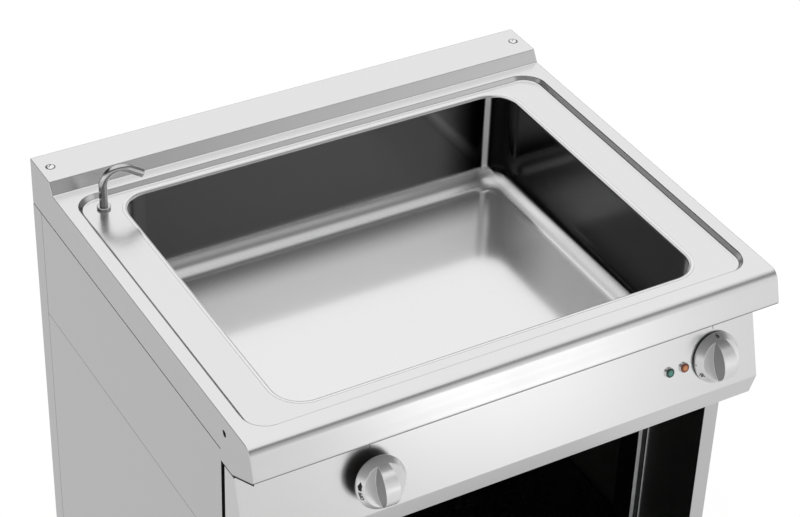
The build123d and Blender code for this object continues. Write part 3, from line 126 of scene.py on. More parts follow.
def panel_axes(joint_name: str, standoff: float) -> Matrix:
    """Give axes over a knob's place on the panel: X right, Y up the panel, Z out of the panel.

    Args:
        joint_name: The knob's joint.
        standoff: How far in front of the panel the axes lie.

    Returns:
        The placement.
    """
    joint = joint_named(joint_name)
    outward = -Vector(joint["axis"]).normalized()
    right = Vector((1.0, 0.0, 0.0))
    place = Vector(joint["pos_m"]) + outward * standoff
    turn = Matrix((right, outward.cross(right), outward)).transposed().to_4x4()
    return Matrix.Translation(place) @ turn


def skin(form: bmesh.types.BMesh, rings: Sequence[Sequence[bmesh.types.BMVert]]) -> None:
    """Join each ring of corners to the next one with four-sided faces.

    Args:
        form: The form that gets the faces.
        rings: The rings in order, each with as many corners as the others.
    """
    for near, far in zip(rings, rings[1:]):
        for i in range(len(near)):
            j = (i + 1) % len(near)
            form.faces.new((near[i], near[j], far[j], far[i]))


def mesh_of(form: bmesh.types.BMesh, name: str) -> bpy.types.Mesh:
    """Turn a drawn form into a mesh and free the form.

    Args:
        form: The drawn form.
        name: The mesh's name.

    Returns:
        The mesh.
    """
    mesh = bpy.data.meshes.new(name)
    form.to_mesh(mesh)
    form.free()
    return mesh


class NodeNet:
    """A thin helper that places nodes and links in one node tree."""

    def __init__(self, tree: bpy.types.NodeTree) -> None:
        """Keep the tree that nodes go into."""
        self.tree = tree

    def add(self, kind: str, **settings: object) -> bpy.types.Node:
        """Place a node.

        Args:
            kind: The node's Blender type name.
            settings: Properties set on the node.

        Returns:
            The new node.
        """
        node = self.tree.nodes.new(kind)
        for name, value in settings.items():
            setattr(node, name, value)
        return node

    def join(self, source: Socket, target: Socket) -> None:
        """Link two sockets."""
        self.tree.links.new(source, target)

    def feed(self, value: object, target: Socket) -> None:
        """Link a socket to an input, or set a plain value on it.

        Args:
            value: A socket or a plain value.
            target: The input.
        """
        if isinstance(value, Socket):
            self.join(value, target)
        else:
            target.default_value = value

    def math(self, operation: str, first: Feed, *others: Feed) -> Socket:
        """Run one math operation over values, from the first to the last.

        Args:
            operation: The math operation's name.
            first: A socket or a number.
            others: More sockets or numbers, one at least.

        Returns:
            The result's socket.
        """
        result = first
        for other in others:
            node = self.add("ShaderNodeMath", operation=operation)
            self.feed(result, node.inputs[0])
            self.feed(other, node.inputs[1])
            result = node.outputs[0]
        return result

    def product(self, *factors: Feed) -> Socket:
        """Multiply values."""
        return self.math("MULTIPLY", *factors)

    def total(self, *terms: Feed) -> Socket:
        """Add values up."""
        return self.math("ADD", *terms)

    def inverse(self, value: Socket) -> Socket:
        """Give what a value leaves of one."""
        return self.math("SUBTRACT", 1.0, value)

    def magnitude(self, value: Socket) -> Socket:
        """Give a value without its sign."""
        return self.math("ABSOLUTE", value, 0.0)

    def span(self, value: Socket, low: float, high: float, start: float = 0.0, end: float = 1.0) -> Socket:
        """Map a value smoothly from one span to another.

        Args:
            value: The socket to map.
            low: Where the span starts.
            high: Where the span ends.
            start: The result at low.
            end: The result at high.

        Returns:
            The mapped value's socket.
        """
        node = self.add("ShaderNodeMapRange", interpolation_type="SMOOTHSTEP")
        self.join(value, node.inputs["Value"])
        for name, number in (("From Min", low), ("From Max", high), ("To Min", start), ("To Max", end)):
            node.inputs[name].default_value = number
        return node.outputs["Result"]

    def mixed(self, share: Socket, first: Feed, second: Feed) -> Socket:
        """Mix two values.

        Args:
            share: How much of the second value shows, from 0 to 1.
            first: A socket or a number.
            second: A socket or a number.

        Returns:
            The mix's socket.
        """
        node = self.add("ShaderNodeMix", data_type="FLOAT")
        for name, value in (("Factor", share), ("A", first), ("B", second)):
            self.feed(value, node.inputs[name])
        return node.outputs["Result"]

    def vector(self, operation: str, first: Socket, second: object) -> Outputs:
        """Place a vector math node.

        Args:
            operation: The vector operation's name.
            first: A vector socket.
            second: A vector socket or a plain vector.

        Returns:
            The node's outputs, Vector and Value.
        """
        node = self.add("ShaderNodeVectorMath", operation=operation)
        self.join(first, node.inputs[0])
        self.feed(second, node.inputs[1])
        return node.outputs

    def place(self, kind: str = "Object") -> Socket:
        """Give one of the texture coordinates, unless named the spot in the piece's own axes."""
        return self.add("ShaderNodeTexCoord").outputs[kind]

    def split(self, vector: Socket) -> Outputs:
        """Take a vector apart.

        Args:
            vector: The vector's socket.

        Returns:
            The outputs X, Y and Z.
        """
        node = self.add("ShaderNodeSeparateXYZ")
        self.join(vector, node.inputs[0])
        return node.outputs

    def noise(self, place: Socket, scale: Feed, detail: float) -> Socket:
        """Place a noise texture.

        Args:
            place: The spot's socket.
            scale: How fine the noise is, a socket or a number.
            detail: How many finer layers it has.

        Returns:
            The noise's socket.
        """
        node = self.add("ShaderNodeTexNoise")
        self.join(place, node.inputs["Vector"])
        self.feed(scale, node.inputs["Scale"])
        node.inputs["Detail"].default_value = detail
        return node.outputs["Fac"]


class SharedEffects:
    """The surface effects that several finishes place with their own values."""

    BAND_STRETCH = (0.08, 0.08, 0.08)
    CLOUD_SPAN = (0.35, 0.7)
    TONE_SCALE = 40.0

    def __init__(self) -> None:
        """Build each group once."""
        self.brush = self._brush_lines()
        self.cloud = self._cloud_marks()
        self.pores = self._moulded_pores()

    @staticmethod
    def _open(effect: Effect, name: str, kind: str, default: object) -> tuple[NodeNet, Socket]:
        """Open a group with one named input.

        Args:
            effect: The group's name.
            name: The input's name.
            kind: The input's socket type.
            default: The input's first value.

        Returns:
            The net of the new group, and the input's socket in it.
        """
        tree = bpy.data.node_groups.new(effect.value, "ShaderNodeTree")
        socket = tree.interface.new_socket(name=name, in_out="INPUT", socket_type=kind)
        socket.default_value = default
        net = NodeNet(tree)
        return net, net.add("NodeGroupInput").outputs[name]

    @staticmethod
    def _close(net: NodeNet, **results: Socket) -> bpy.types.NodeTree:
        """Give a group its outputs.

        Args:
            net: The group's net.
            results: What each named output puts out.

        Returns:
            The finished group.
        """
        for name in results:
            net.tree.interface.new_socket(name=name, in_out="OUTPUT", socket_type="NodeSocketFloat")
        sink = net.add("NodeGroupOutput")
        for name, result in results.items():
            net.join(result, sink.inputs[name])
        return net.tree

    def _brush_lines(self) -> bpy.types.NodeTree:
        """Draw fine straight brush lines and broader bands along them.

        Returns:
            The group.
        """
        net, stretch = self._open(Effect.BRUSH, "Stretch", "NodeSocketVector", Grain.ALONG_X.value)
        fine = net.vector("MULTIPLY", net.place(), stretch)["Vector"]
        coarse = net.vector("MULTIPLY", fine, self.BAND_STRETCH)["Vector"]
        lines = net.noise(fine, scale=1.0, detail=3.0)
        bands = net.noise(coarse, scale=1.0, detail=1.0)
        return self._close(net, Lines=lines, Bands=bands)

    def _cloud_marks(self) -> bpy.types.NodeTree:
        """Draw soft cloudy marks left by wiping and handling.

        Returns:
            The group.
        """
        net, scale = self._open(Effect.CLOUD, "Scale", "NodeSocketFloat", 6.0)
        noise = net.noise(net.place(), scale, detail=4.0)
        return self._close(net, Mask=net.span(noise, *self.CLOUD_SPAN))

    def _moulded_pores(self) -> bpy.types.NodeTree:
        """Draw the fine spark-eroded grain of a moulded surface.

        Returns:
            The group.
        """
        net, scale = self._open(Effect.PORES, "Scale", "NodeSocketFloat", 1800.0)
        place = net.place()
        grain = net.noise(place, scale, detail=2.0)
        tone = net.noise(place, self.TONE_SCALE, detail=2.0)
        return self._close(net, Height=grain, Tone=tone)


class Coat:
    """A finish in the making: a material with one Principled shader and helpers to dress it."""

    GLOSS_SPAN = (0.2, 0.8)
    CORNER_SPAN = (0.998, 0.965)
    CORNER_SAMPLES = 8

    def __init__(self, name: str) -> None:
        """Open the material under its name."""
        self.material = bpy.data.materials.new(name)
        self.material.use_nodes = True
        self.net = NodeNet(self.material.node_tree)
        self.shader = self.material.node_tree.nodes["Principled BSDF"]

    def set(self, **values: object) -> None:
        """Set plain values on the shader, with underscores for spaces in the socket's name."""
        for name, value in values.items():
            self.shader.inputs[name.replace("_", " ")].default_value = value

    def group(self, tree: bpy.types.NodeTree, **values: object) -> Outputs:
        """Place a shared group.

        Args:
            tree: The group.
            values: The group's inputs by name.

        Returns:
            The group's outputs.
        """
        node = self.net.add("ShaderNodeGroup", node_tree=tree)
        for name, value in values.items():
            node.inputs[name].default_value = value
        return node.outputs

    def over(self, under: Union[Socket, Colour], mask: Socket, colour: Colour) -> Socket:
        """Lay a colour over a plain one, or over a blend so far.

        Args:
            under: The plain colour, or the blend's socket.
            mask: Where the new colour goes.
            colour: The new colour.

        Returns:
            The new blend's socket, linked to the shader's base colour.
        """
        mix = self.net.add("ShaderNodeMix", data_type="RGBA")
        self.net.join(mask, mix.inputs["Factor"])
        self.net.feed((*under, 1.0) if isinstance(under, tuple) else under, mix.inputs["A"])
        mix.inputs["B"].default_value = (*colour, 1.0)
        blend = mix.outputs["Result"]
        self.net.join(blend, self.shader.inputs["Base Color"])
        return blend

    def facing(self) -> Outputs:
        """Give X, Y and Z of the surface's direction in the piece's own axes."""
        return self.net.split(self.net.place("Normal"))

    def sideways(self, turn: Span) -> Socket:
        """Mask the faces that look left or right, between two shares of X in their direction."""
        return self.net.span(self.net.magnitude(self.facing()["X"]), *turn)

    def gloss(self, mask: Socket, low: float, high: float) -> Socket:
        """Let the roughness run between two values.

        Args:
            mask: Where the surface is rougher.
            low: The least roughness.
            high: The most.

        Returns:
            The roughness's socket.
        """
        rough = self.net.span(mask, *self.GLOSS_SPAN, low, high)
        self.net.join(rough, self.shader.inputs["Roughness"])
        return rough

    def corners(self, radius: float) -> tuple[Socket, Socket]:
        """Round the surface's direction at corners.

        Args:
            radius: The corners' radius.

        Returns:
            The rounded direction, and a mask of the narrow strips beside corners.
        """
        node = self.net.add("ShaderNodeBevel", samples=self.CORNER_SAMPLES)
        node.inputs["Radius"].default_value = radius
        rounded = node.outputs["Normal"]
        surface = self.net.add("ShaderNodeNewGeometry").outputs["Normal"]
        agree = self.net.vector("DOT_PRODUCT", rounded, surface)["Value"]
        return rounded, self.net.span(agree, *self.CORNER_SPAN)

    def raise_by(self, height: Socket, distance: float, strength: float,
                 under: Optional[Socket] = None) -> None:
        """Feed a height into the shader's normal.

        Args:
            height: The height's socket.
            distance: Depth of the relief.
            strength: How strongly it shows.
            under: The direction the relief stands on, or none for the surface's own.
        """
        bump = self.net.add("ShaderNodeBump")
        bump.inputs["Distance"].default_value = distance
        bump.inputs["Strength"].default_value = strength
        self.net.join(height, bump.inputs["Height"])
        if under:
            self.net.join(under, bump.inputs["Normal"])
        self.net.join(bump.outputs["Normal"], self.shader.inputs["Normal"])


@dataclass(frozen=True)
class BrushedSteel:
    """Satin stainless sheet with fine brush lines.

    Faces that look sideways or down and the recess step that faces right may get darker tones of their own:
    painted shade where those faces turn away from the light.
    """

    name: str
    tone: float
    grain: Grain
    smooth: float
    rough: float
    side_tone: float = 0.0
    under_shade: float = 0.0
    left_step_shade: float = 0.0
    edge: float = 0.0
    edge_rough: float = 0.09
    contrast: float = 0.006
    cloud_scale: float = 5.0
    band_share: float = 0.7
    line_depth: float = 0.01 * MM
    line_strength: float = 0.004
    side_turn: Span = (0.85, 0.97)
    under_tilt: Span = (-0.05, -0.2)
    step_low: Span = (0.15, 0.30)
    step_high: Span = (0.93, 0.85)
    step_turn: Span = (0.12, 0.55)

    def build(self, effects: SharedEffects) -> Material:
        """Make the material.

        Args:
            effects: The shared groups.

        Returns:
            The finished material.
        """
        coat = Coat(self.name)
        net = coat.net
        coat.set(Metallic=1.0)
        brush = coat.group(effects.brush, Stretch=self.grain.value)
        cloud = coat.group(effects.cloud, Scale=self.cloud_scale)
        mask = net.total(net.product(brush["Bands"], self.band_share),
                         net.product(cloud["Mask"], 1.0 - self.band_share))
        self._paint(coat, mask)
        satin = coat.gloss(mask, self.smooth, self.rough)
        rounded = None
        if self.edge:
            rounded, strip = coat.corners(self.edge)
            worn = net.mixed(strip, satin, self.edge_rough)
            net.join(worn, coat.shader.inputs["Roughness"])
        coat.raise_by(brush["Lines"], self.line_depth, self.line_strength, rounded)
        return coat.material

    def _paint(self, coat: Coat, mask: Socket) -> None:
        """Lay the sheet's tone, and painted shade on faces that look sideways or down and on the recess step that
        faces right.

        Args:
            coat: The finish in the making.
            mask: The sheet's slight changes of tone.
        """
        net = coat.net
        blend = coat.over(shade(self.tone - self.contrast), mask, shade(self.tone + self.contrast))
        # Painted shade: faces that look sideways, such as the end plates, get a darker tone.
        if self.side_tone:
            blend = coat.over(blend, coat.sideways(self.side_turn), shade(self.side_tone))
        # Painted shade: faces that look down, such as the underside of the nosing, get a dark tone.
        if self.under_shade:
            under = net.span(coat.facing()["Z"], *self.under_tilt)
            blend = coat.over(blend, under, shade(self.under_shade))
        # Painted shade: the recess step that faces right and its rear left corner get a darker tone.
        if self.left_step_shade:
            facing = coat.facing()
            step = net.product(net.span(facing["Z"], *self.step_low), net.span(facing["Z"], *self.step_high),
                               net.span(facing["X"], *self.step_turn))
            coat.over(blend, step, shade(self.left_step_shade))


class BasinMasks:
    """Masks of the basin's floor, coves and walls, told by the way the sheet faces and by its place."""

    LEVEL_TILT = (0.90, 0.99)
    COVE_LOW = (0.40, 0.72)
    COVE_HIGH = (0.995, 0.90)
    WALL_TILT = (0.34, 0.10)
    SIDE_TURN = (0.45, 0.65)
    SIDE_REACH = 0.28
    STREAK_START = (0.16, 0.26)
    STREAK_END = (0.48, 0.38)
    REAR_RIGHT = (0.20, 0.275)
    REAR_HEIGHT = (0.717, 0.776)
    SIDE_FRONT = (0.20, -0.05)
    SIDE_HEIGHT = (0.70, 0.77)
    SIDE_REAR = (0.22, 0.06)

    def __init__(self, coat: Coat) -> None:
        """Make every mask in a finish's node tree."""
        net = coat.net
        facing = coat.facing()
        spot = net.split(net.place())
        tilt = facing["Z"]
        self.level = net.span(tilt, *self.LEVEL_TILT)
        self.cove = net.product(net.span(tilt, *self.COVE_LOW), net.span(tilt, *self.COVE_HIGH))
        self.aside = net.magnitude(facing["X"])
        sideways = net.span(self.aside, *self.SIDE_TURN)
        self.side_cove = net.product(self.cove, sideways)
        lean = net.math("SUBTRACT", net.magnitude(tilt), net.product(sideways, self.SIDE_REACH))
        self.wall = net.span(lean, *self.WALL_TILT)
        leftward = net.product(facing["X"], -1.0)
        corner = net.product(net.span(leftward, *self.STREAK_START), net.span(leftward, *self.STREAK_END))
        self.streak = net.product(self.wall, corner)
        self.upright = net.product(self.wall, net.inverse(corner))
        self.rear_right = net.product(self.upright, net.span(spot["X"], *self.REAR_RIGHT))
        self.side = net.product(self.upright, sideways)
        self.side_front = net.product(self.side, net.span(spot["Y"], *self.SIDE_FRONT),
                                      net.span(spot["Z"], *self.SIDE_HEIGHT))
        # What follows masks the walls as mirrors see them, for painted reflections.
        rays = net.add("ShaderNodeLightPath").outputs
        self.unseen = net.inverse(rays["Is Camera Ray"])
        self.mirrored = net.product(self.upright, self.unseen)
        self.mirrored_high = net.product(self.mirrored, net.span(spot["Z"], *self.REAR_HEIGHT))
        self.mirrored_side = net.product(self.side, self.unseen)
        self.mirrored_rear = net.product(self.mirrored_side, net.span(spot["Y"], *self.SIDE_REAR))


@dataclass(frozen=True)
class BasinSteel:
    """Drawn stainless sheet: polished walls painted dark to the eye as painted reflections and shade, with a
    painted shadow in the rear right corner; satin side coves painted white as a painted highlight; a floor like a
    soft mirror; and, for mirrors only, walls in other tones, painted reflections.

    Of a pair, the rear cove takes the first value and the side coves the second. Side walls run from first to
    second towards the front, the mirrored rear wall upwards and mirrored side walls towards the rear.
    """

    name: str
    grain: Grain
    floor_tone: float
    floor_rough: float
    floor_metal: float
    cove_tone: float
    cove_rough: float
    cove_metal: Span
    wall_rough: float
    rear_tone: float
    rear_corner_shadow: float
    side_tones: Span
    rear_mirrored: Span
    side_mirrored: Span
    side_cove_highlight: float = 1.0
    side_cove_rough: float = 0.24
    side_cove_turn: Span = (0.2, 0.5)
    floor_mirrored_metal: float = 0.75
    streak_satin: float = 0.6
    line_depth: float = 0.01 * MM
    line_strength: float = 0.05

    def build(self, effects: SharedEffects) -> Material:
        """Make the material.

        Args:
            effects: The shared groups.

        Returns:
            The finished material.
        """
        coat = Coat(self.name)
        masks = BasinMasks(coat)
        self._paint(coat, masks)
        self._polish(coat, masks)
        brush = coat.group(effects.brush, Stretch=self.grain.value)
        lines = coat.net.product(brush["Lines"], masks.level)
        coat.raise_by(lines, self.line_depth, self.line_strength)
        return coat.material

    def _paint(self, coat: Coat, masks: BasinMasks) -> None:
        """Lay each region's tone over the coves' one: most of them painted shade, painted reflections or a painted
        highlight.

        Args:
            coat: The finish in the making.
            masks: The basin's regions.
        """
        # Painted light and shade: the dark wall tones stand in for dark reflections, the rear right corner gets a
        # painted shadow, the tones that mirrors see are painted reflections (the rear wall lighter upwards), and
        # the side coves are painted white as a highlight.
        layers = ((masks.level, self.floor_tone),
                  (masks.upright, self.rear_tone),
                  (masks.rear_right, self.rear_corner_shadow),
                  (masks.side, self.side_tones[0]),
                  (masks.side_front, self.side_tones[1]),
                  (masks.mirrored, self.rear_mirrored[0]),
                  (masks.mirrored_high, self.rear_mirrored[1]),
                  (masks.mirrored_side, self.side_mirrored[0]),
                  (masks.mirrored_rear, self.side_mirrored[1]),
                  (masks.side_cove, self.side_cove_highlight))
        blend = shade(self.cove_tone)
        for mask, tone in layers:
            blend = coat.over(blend, mask, shade(tone))

    def _polish(self, coat: Coat, masks: BasinMasks) -> None:
        """Set how metallic and how rough each region is.

        Args:
            coat: The finish in the making.
            masks: The basin's regions.
        """
        net = coat.net
        # Satin side coves, upright corner and mirrored walls let their painted tones read as light: part of the
        # painted highlight and the painted reflections.
        rear_metal, side_metal = self.cove_metal
        cove = net.span(masks.aside, *self.side_cove_turn, 1.0 - rear_metal, 1.0 - side_metal)
        floor = net.span(masks.unseen, 0.0, 1.0, 1.0 - self.floor_metal, 1.0 - self.floor_mirrored_metal)
        satin = net.total(net.product(masks.cove, cove), net.product(masks.level, floor),
                          net.product(masks.streak, self.streak_satin), masks.mirrored)
        net.join(net.inverse(satin), coat.shader.inputs["Metallic"])
        rough = net.total(net.span(masks.wall, 0.0, 1.0, self.cove_rough, self.wall_rough),
                          net.product(masks.level, self.floor_rough - self.cove_rough),
                          net.product(masks.side_cove, self.side_cove_rough - self.cove_rough))
        net.join(rough, coat.shader.inputs["Roughness"])


@dataclass(frozen=True)
class PlatedMetal:
    """Polished, plated or drawn metal with faint wiping marks. Flanks or a sloping rim may take a dark tone of
    their own, painted shade.
    """

    name: str
    colour: Colour
    smooth: float
    rough: float
    metallic: float = 1.0
    flank: Optional[Colour] = None
    flank_turn: Span = (0.85, 0.97)
    rim: Optional[Colour] = None
    rim_tilt: Span = (0.87, 0.79)
    marks: float = 0.1
    cloud_scale: float = 60.0

    def build(self, effects: SharedEffects) -> Material:
        """Make the material.

        Args:
            effects: The shared groups.

        Returns:
            The finished material.
        """
        coat = Coat(self.name)
        coat.set(Metallic=self.metallic)
        cloud = coat.group(effects.cloud, Scale=self.cloud_scale)["Mask"]
        blend = coat.over(dimmed(self.colour, self.marks), cloud, self.colour)
        # Painted shade: faces that look sideways get the flank's dark tone.
        if self.flank:
            blend = coat.over(blend, coat.sideways(self.flank_turn), self.flank)
        # Painted shade: the sloping rim, as round a dome, gets a dark outline.
        if self.rim:
            coat.over(blend, coat.net.span(coat.facing()["Z"], *self.rim_tilt), self.rim)
        coat.gloss(cloud, self.rough, self.smooth)
        return coat.material


@dataclass(frozen=True)
class Moulding:
    """A moulded plastic or rubber with a fine eroded grain. Where it has an edge radius, strips beside its edges
    are painted white and less metallic, a painted highlight; a flank colour is painted shade on faces that look
    sideways.
    """

    name: str
    colour: Colour
    rough: float
    metallic: float = 0.0
    coat: float = 0.0
    edge: float = 0.0
    edge_highlight: float = 1.0
    flank: Optional[Colour] = None
    flank_turn: Span = (0.90, 0.97)
    mottle: float = 0.12
    rough_spread: float = 0.08
    grain_scale: float = 1800.0
    grain_depth: float = 0.02 * MM
    grain_strength: float = 0.2

    def build(self, effects: SharedEffects) -> Material:
        """Make the material.

        Args:
            effects: The shared groups.

        Returns:
            The finished material.
        """
        coat = Coat(self.name)
        coat.set(Metallic=self.metallic, Coat_Weight=self.coat)
        pores = coat.group(effects.pores, Scale=self.grain_scale)
        blend = coat.over(dimmed(self.colour, self.mottle), pores["Tone"], self.colour)
        coat.gloss(pores["Tone"], self.rough, self.rough + self.rough_spread)
        # Painted shade: faces that look sideways get the flank's darker tone.
        if self.flank:
            blend = coat.over(blend, coat.sideways(self.flank_turn), self.flank)
        rounded = None
        # Painted highlight: white, less metallic strips along the rounded edges.
        if self.edge:
            rounded, strip = coat.corners(self.edge)
            coat.over(blend, strip, shade(self.edge_highlight))
            coat.net.join(coat.net.span(strip, 0.0, 1.0, self.metallic, 0.0), coat.shader.inputs["Metallic"])
        coat.raise_by(pores["Height"], self.grain_depth, self.grain_strength, rounded)
        return coat.material


@dataclass(frozen=True)
class TintedLens:
    """A tinted pilot lamp lens, unlit: deep in colour at its rim and paler over the bulb."""

    name: str
    deep: Colour
    bright: Colour
    node: str
    bulb: float = 2.0 * MM
    rim: float = 5.2 * MM
    rough: float = 0.12
    coat: float = 0.6
    coat_rough: float = 0.04
    bend: float = 1.5

    def build(self, effects: SharedEffects) -> Material:
        """Make the material.

        Args:
            effects: The shared groups, unused here.

        Returns:
            The finished material.
        """
        coat = Coat(self.name)
        coat.set(Roughness=self.rough, Coat_Weight=self.coat, Coat_Roughness=self.coat_rough, IOR=self.bend)
        net = coat.net
        low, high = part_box(self.node)
        middle = (Vector(low) + Vector(high)) / 2
        axis = Vector(joint_named(THERMOSTAT_JOINT)["axis"]).normalized()
        arm = net.vector("SUBTRACT", net.place(), middle)["Vector"]
        across = net.vector("CROSS_PRODUCT", arm, axis)["Vector"]
        reach = net.vector("LENGTH", across, axis)["Value"]
        coat.over(self.bright, net.span(reach, self.bulb, self.rim), self.deep)
        return coat.material


class Paintbox:
    """All finishes of the object, built once and handed out by name."""

    def __init__(self) -> None:
        """Build every finish."""
        effects = SharedEffects()
        finishes = [
            # top_steel: its darker tones for faces that look sideways or down and for the recess step that faces
            # right are painted shade.
            BrushedSteel("top_steel", 0.90, Grain.ALONG_X, 0.21, 0.27, side_tone=0.83, under_shade=0.30,
                         left_step_shade=0.42, edge=1.6 * MM),
            # basin_steel: its wall, corner, cove and mirrored tones are painted reflections, painted shade and a
            # painted highlight.
            BasinSteel("basin_steel", Grain.ALONG_X, floor_tone=0.92, floor_rough=0.13, floor_metal=0.86,
                       cove_tone=0.80, cove_rough=0.28, cove_metal=(0.97, 0.25), wall_rough=0.10,
                       rear_tone=0.41, rear_corner_shadow=0.03, side_tones=(0.115, 0.34),
                       rear_mirrored=(0.20, 1.0), side_mirrored=(0.20, 0.80)),
            BrushedSteel("panel_steel", 0.90, Grain.ALONG_X, 0.24, 0.26),
            BrushedSteel("side_steel", 0.84, Grain.ALONG_Z, 0.29, 0.31),
            # inner_steel: its very dark tone is painted shade for the inside of the base.
            BrushedSteel("inner_steel", 0.13, Grain.ALONG_Z, 0.24, 0.34),
            BrushedSteel("leg_steel", 0.84, Grain.ALONG_Z, 0.18, 0.28),
            # stiffener_steel: its near black flanks are painted shade.
            PlatedMetal("stiffener_steel", shade(0.99), 0.30, 0.40, metallic=0.0, flank=shade(0.04)),
            PlatedMetal("zinc_sheet", shade(0.74), 0.42, 0.47, marks=0.04),
            PlatedMetal("screw_steel", shade(0.88), 0.14, 0.22, metallic=0.85),
            # dome_steel: the dark rim is a painted shade outline round each dome.
            PlatedMetal("dome_steel", shade(0.98), 0.14, 0.22, metallic=0.85, rim=shade(0.03)),
            PlatedMetal("chrome_trim", shade(0.92), 0.04, 0.09),
            # spout_chrome: rougher than chrome_trim, and darker; the lower tone is painted shade, standing in for
            # the tube's dark reflections.
            PlatedMetal("spout_chrome", shade(0.82), 0.12, 0.18),
            PlatedMetal("element_sheath", shade(0.34, 0.5), 0.35, 0.5),
            PlatedMetal("copper", (0.72, 0.36, 0.22), 0.22, 0.36),
            PlatedMetal("brass", (0.72, 0.53, 0.24), 0.2, 0.34),
            PlatedMetal("valve_nickel", shade(0.82, 0.3), 0.16, 0.26),
            # knob_silver: its white edge strips are a painted highlight and its darker flanks painted shade.
            Moulding("knob_silver", shade(0.99), 0.27, metallic=0.5, edge=1.4 * MM, flank=shade(0.60)),
            Moulding("black_plastic", shade(0.10), 0.42),
            Moulding("ivory_moulding", (0.62, 0.56, 0.42), 0.5),
            Moulding("red_plastic", (0.45, 0.03, 0.025), 0.3, coat=0.3),
            Moulding("gasket_rubber", shade(0.13), 0.65),
            Moulding("mark_paint", shade(0.02), 0.5),
            TintedLens("lens_green", (0.004, 0.05, 0.04), (0.07, 0.34, 0.27), "lamp_lens_green"),
            TintedLens("lens_orange", (0.22, 0.045, 0.015), (0.80, 0.30, 0.09), "lamp_lens_orange"),
        ]
        self.materials = {finish.name: finish.build(effects) for finish in finishes}

    def dress(self, thing: bpy.types.Object, finish: str) -> None:
        """Put a finish on every material slot of an object.

        Args:
            thing: The object.
            finish: The finish's name.
        """
        if not thing.material_slots:
            thing.data.materials.append(self.materials[finish])
        for slot in thing.material_slots:
            slot.material = self.materials[finish]

    def piece(self, mesh: bpy.types.Mesh, finish: str) -> bpy.types.Object:
        """Put a mesh into the scene as a dressed piece, under the mesh's own name.

        Args:
            mesh: The piece's mesh, in the frame at rest.
            finish: The finish's name.

        Returns:
            The piece.
        """
        piece = bpy.data.objects.new(mesh.name, mesh)
        bpy.context.scene.collection.objects.link(piece)
        self.dress(piece, finish)
        LOG.info("piece %s in %s", piece.name, finish)
        return piece


@dataclass
class CadDress:
    """Gives each carried-over node the finish of its record slot, with a few choices of its own."""

    paint: Paintbox
    exceptions: dict[str, str]

    def dress(self) -> None:
        """Dress all nodes of the frame."""
        slots = {row["node"]: row["material_slot"] for row in frame["record"]["subparts"]}
        for name, node in frame["nodes"].items():
            finish = self.exceptions.get(name, slots[name])
            self.paint.dress(node, finish)
            LOG.info("node %s in %s", name, finish)


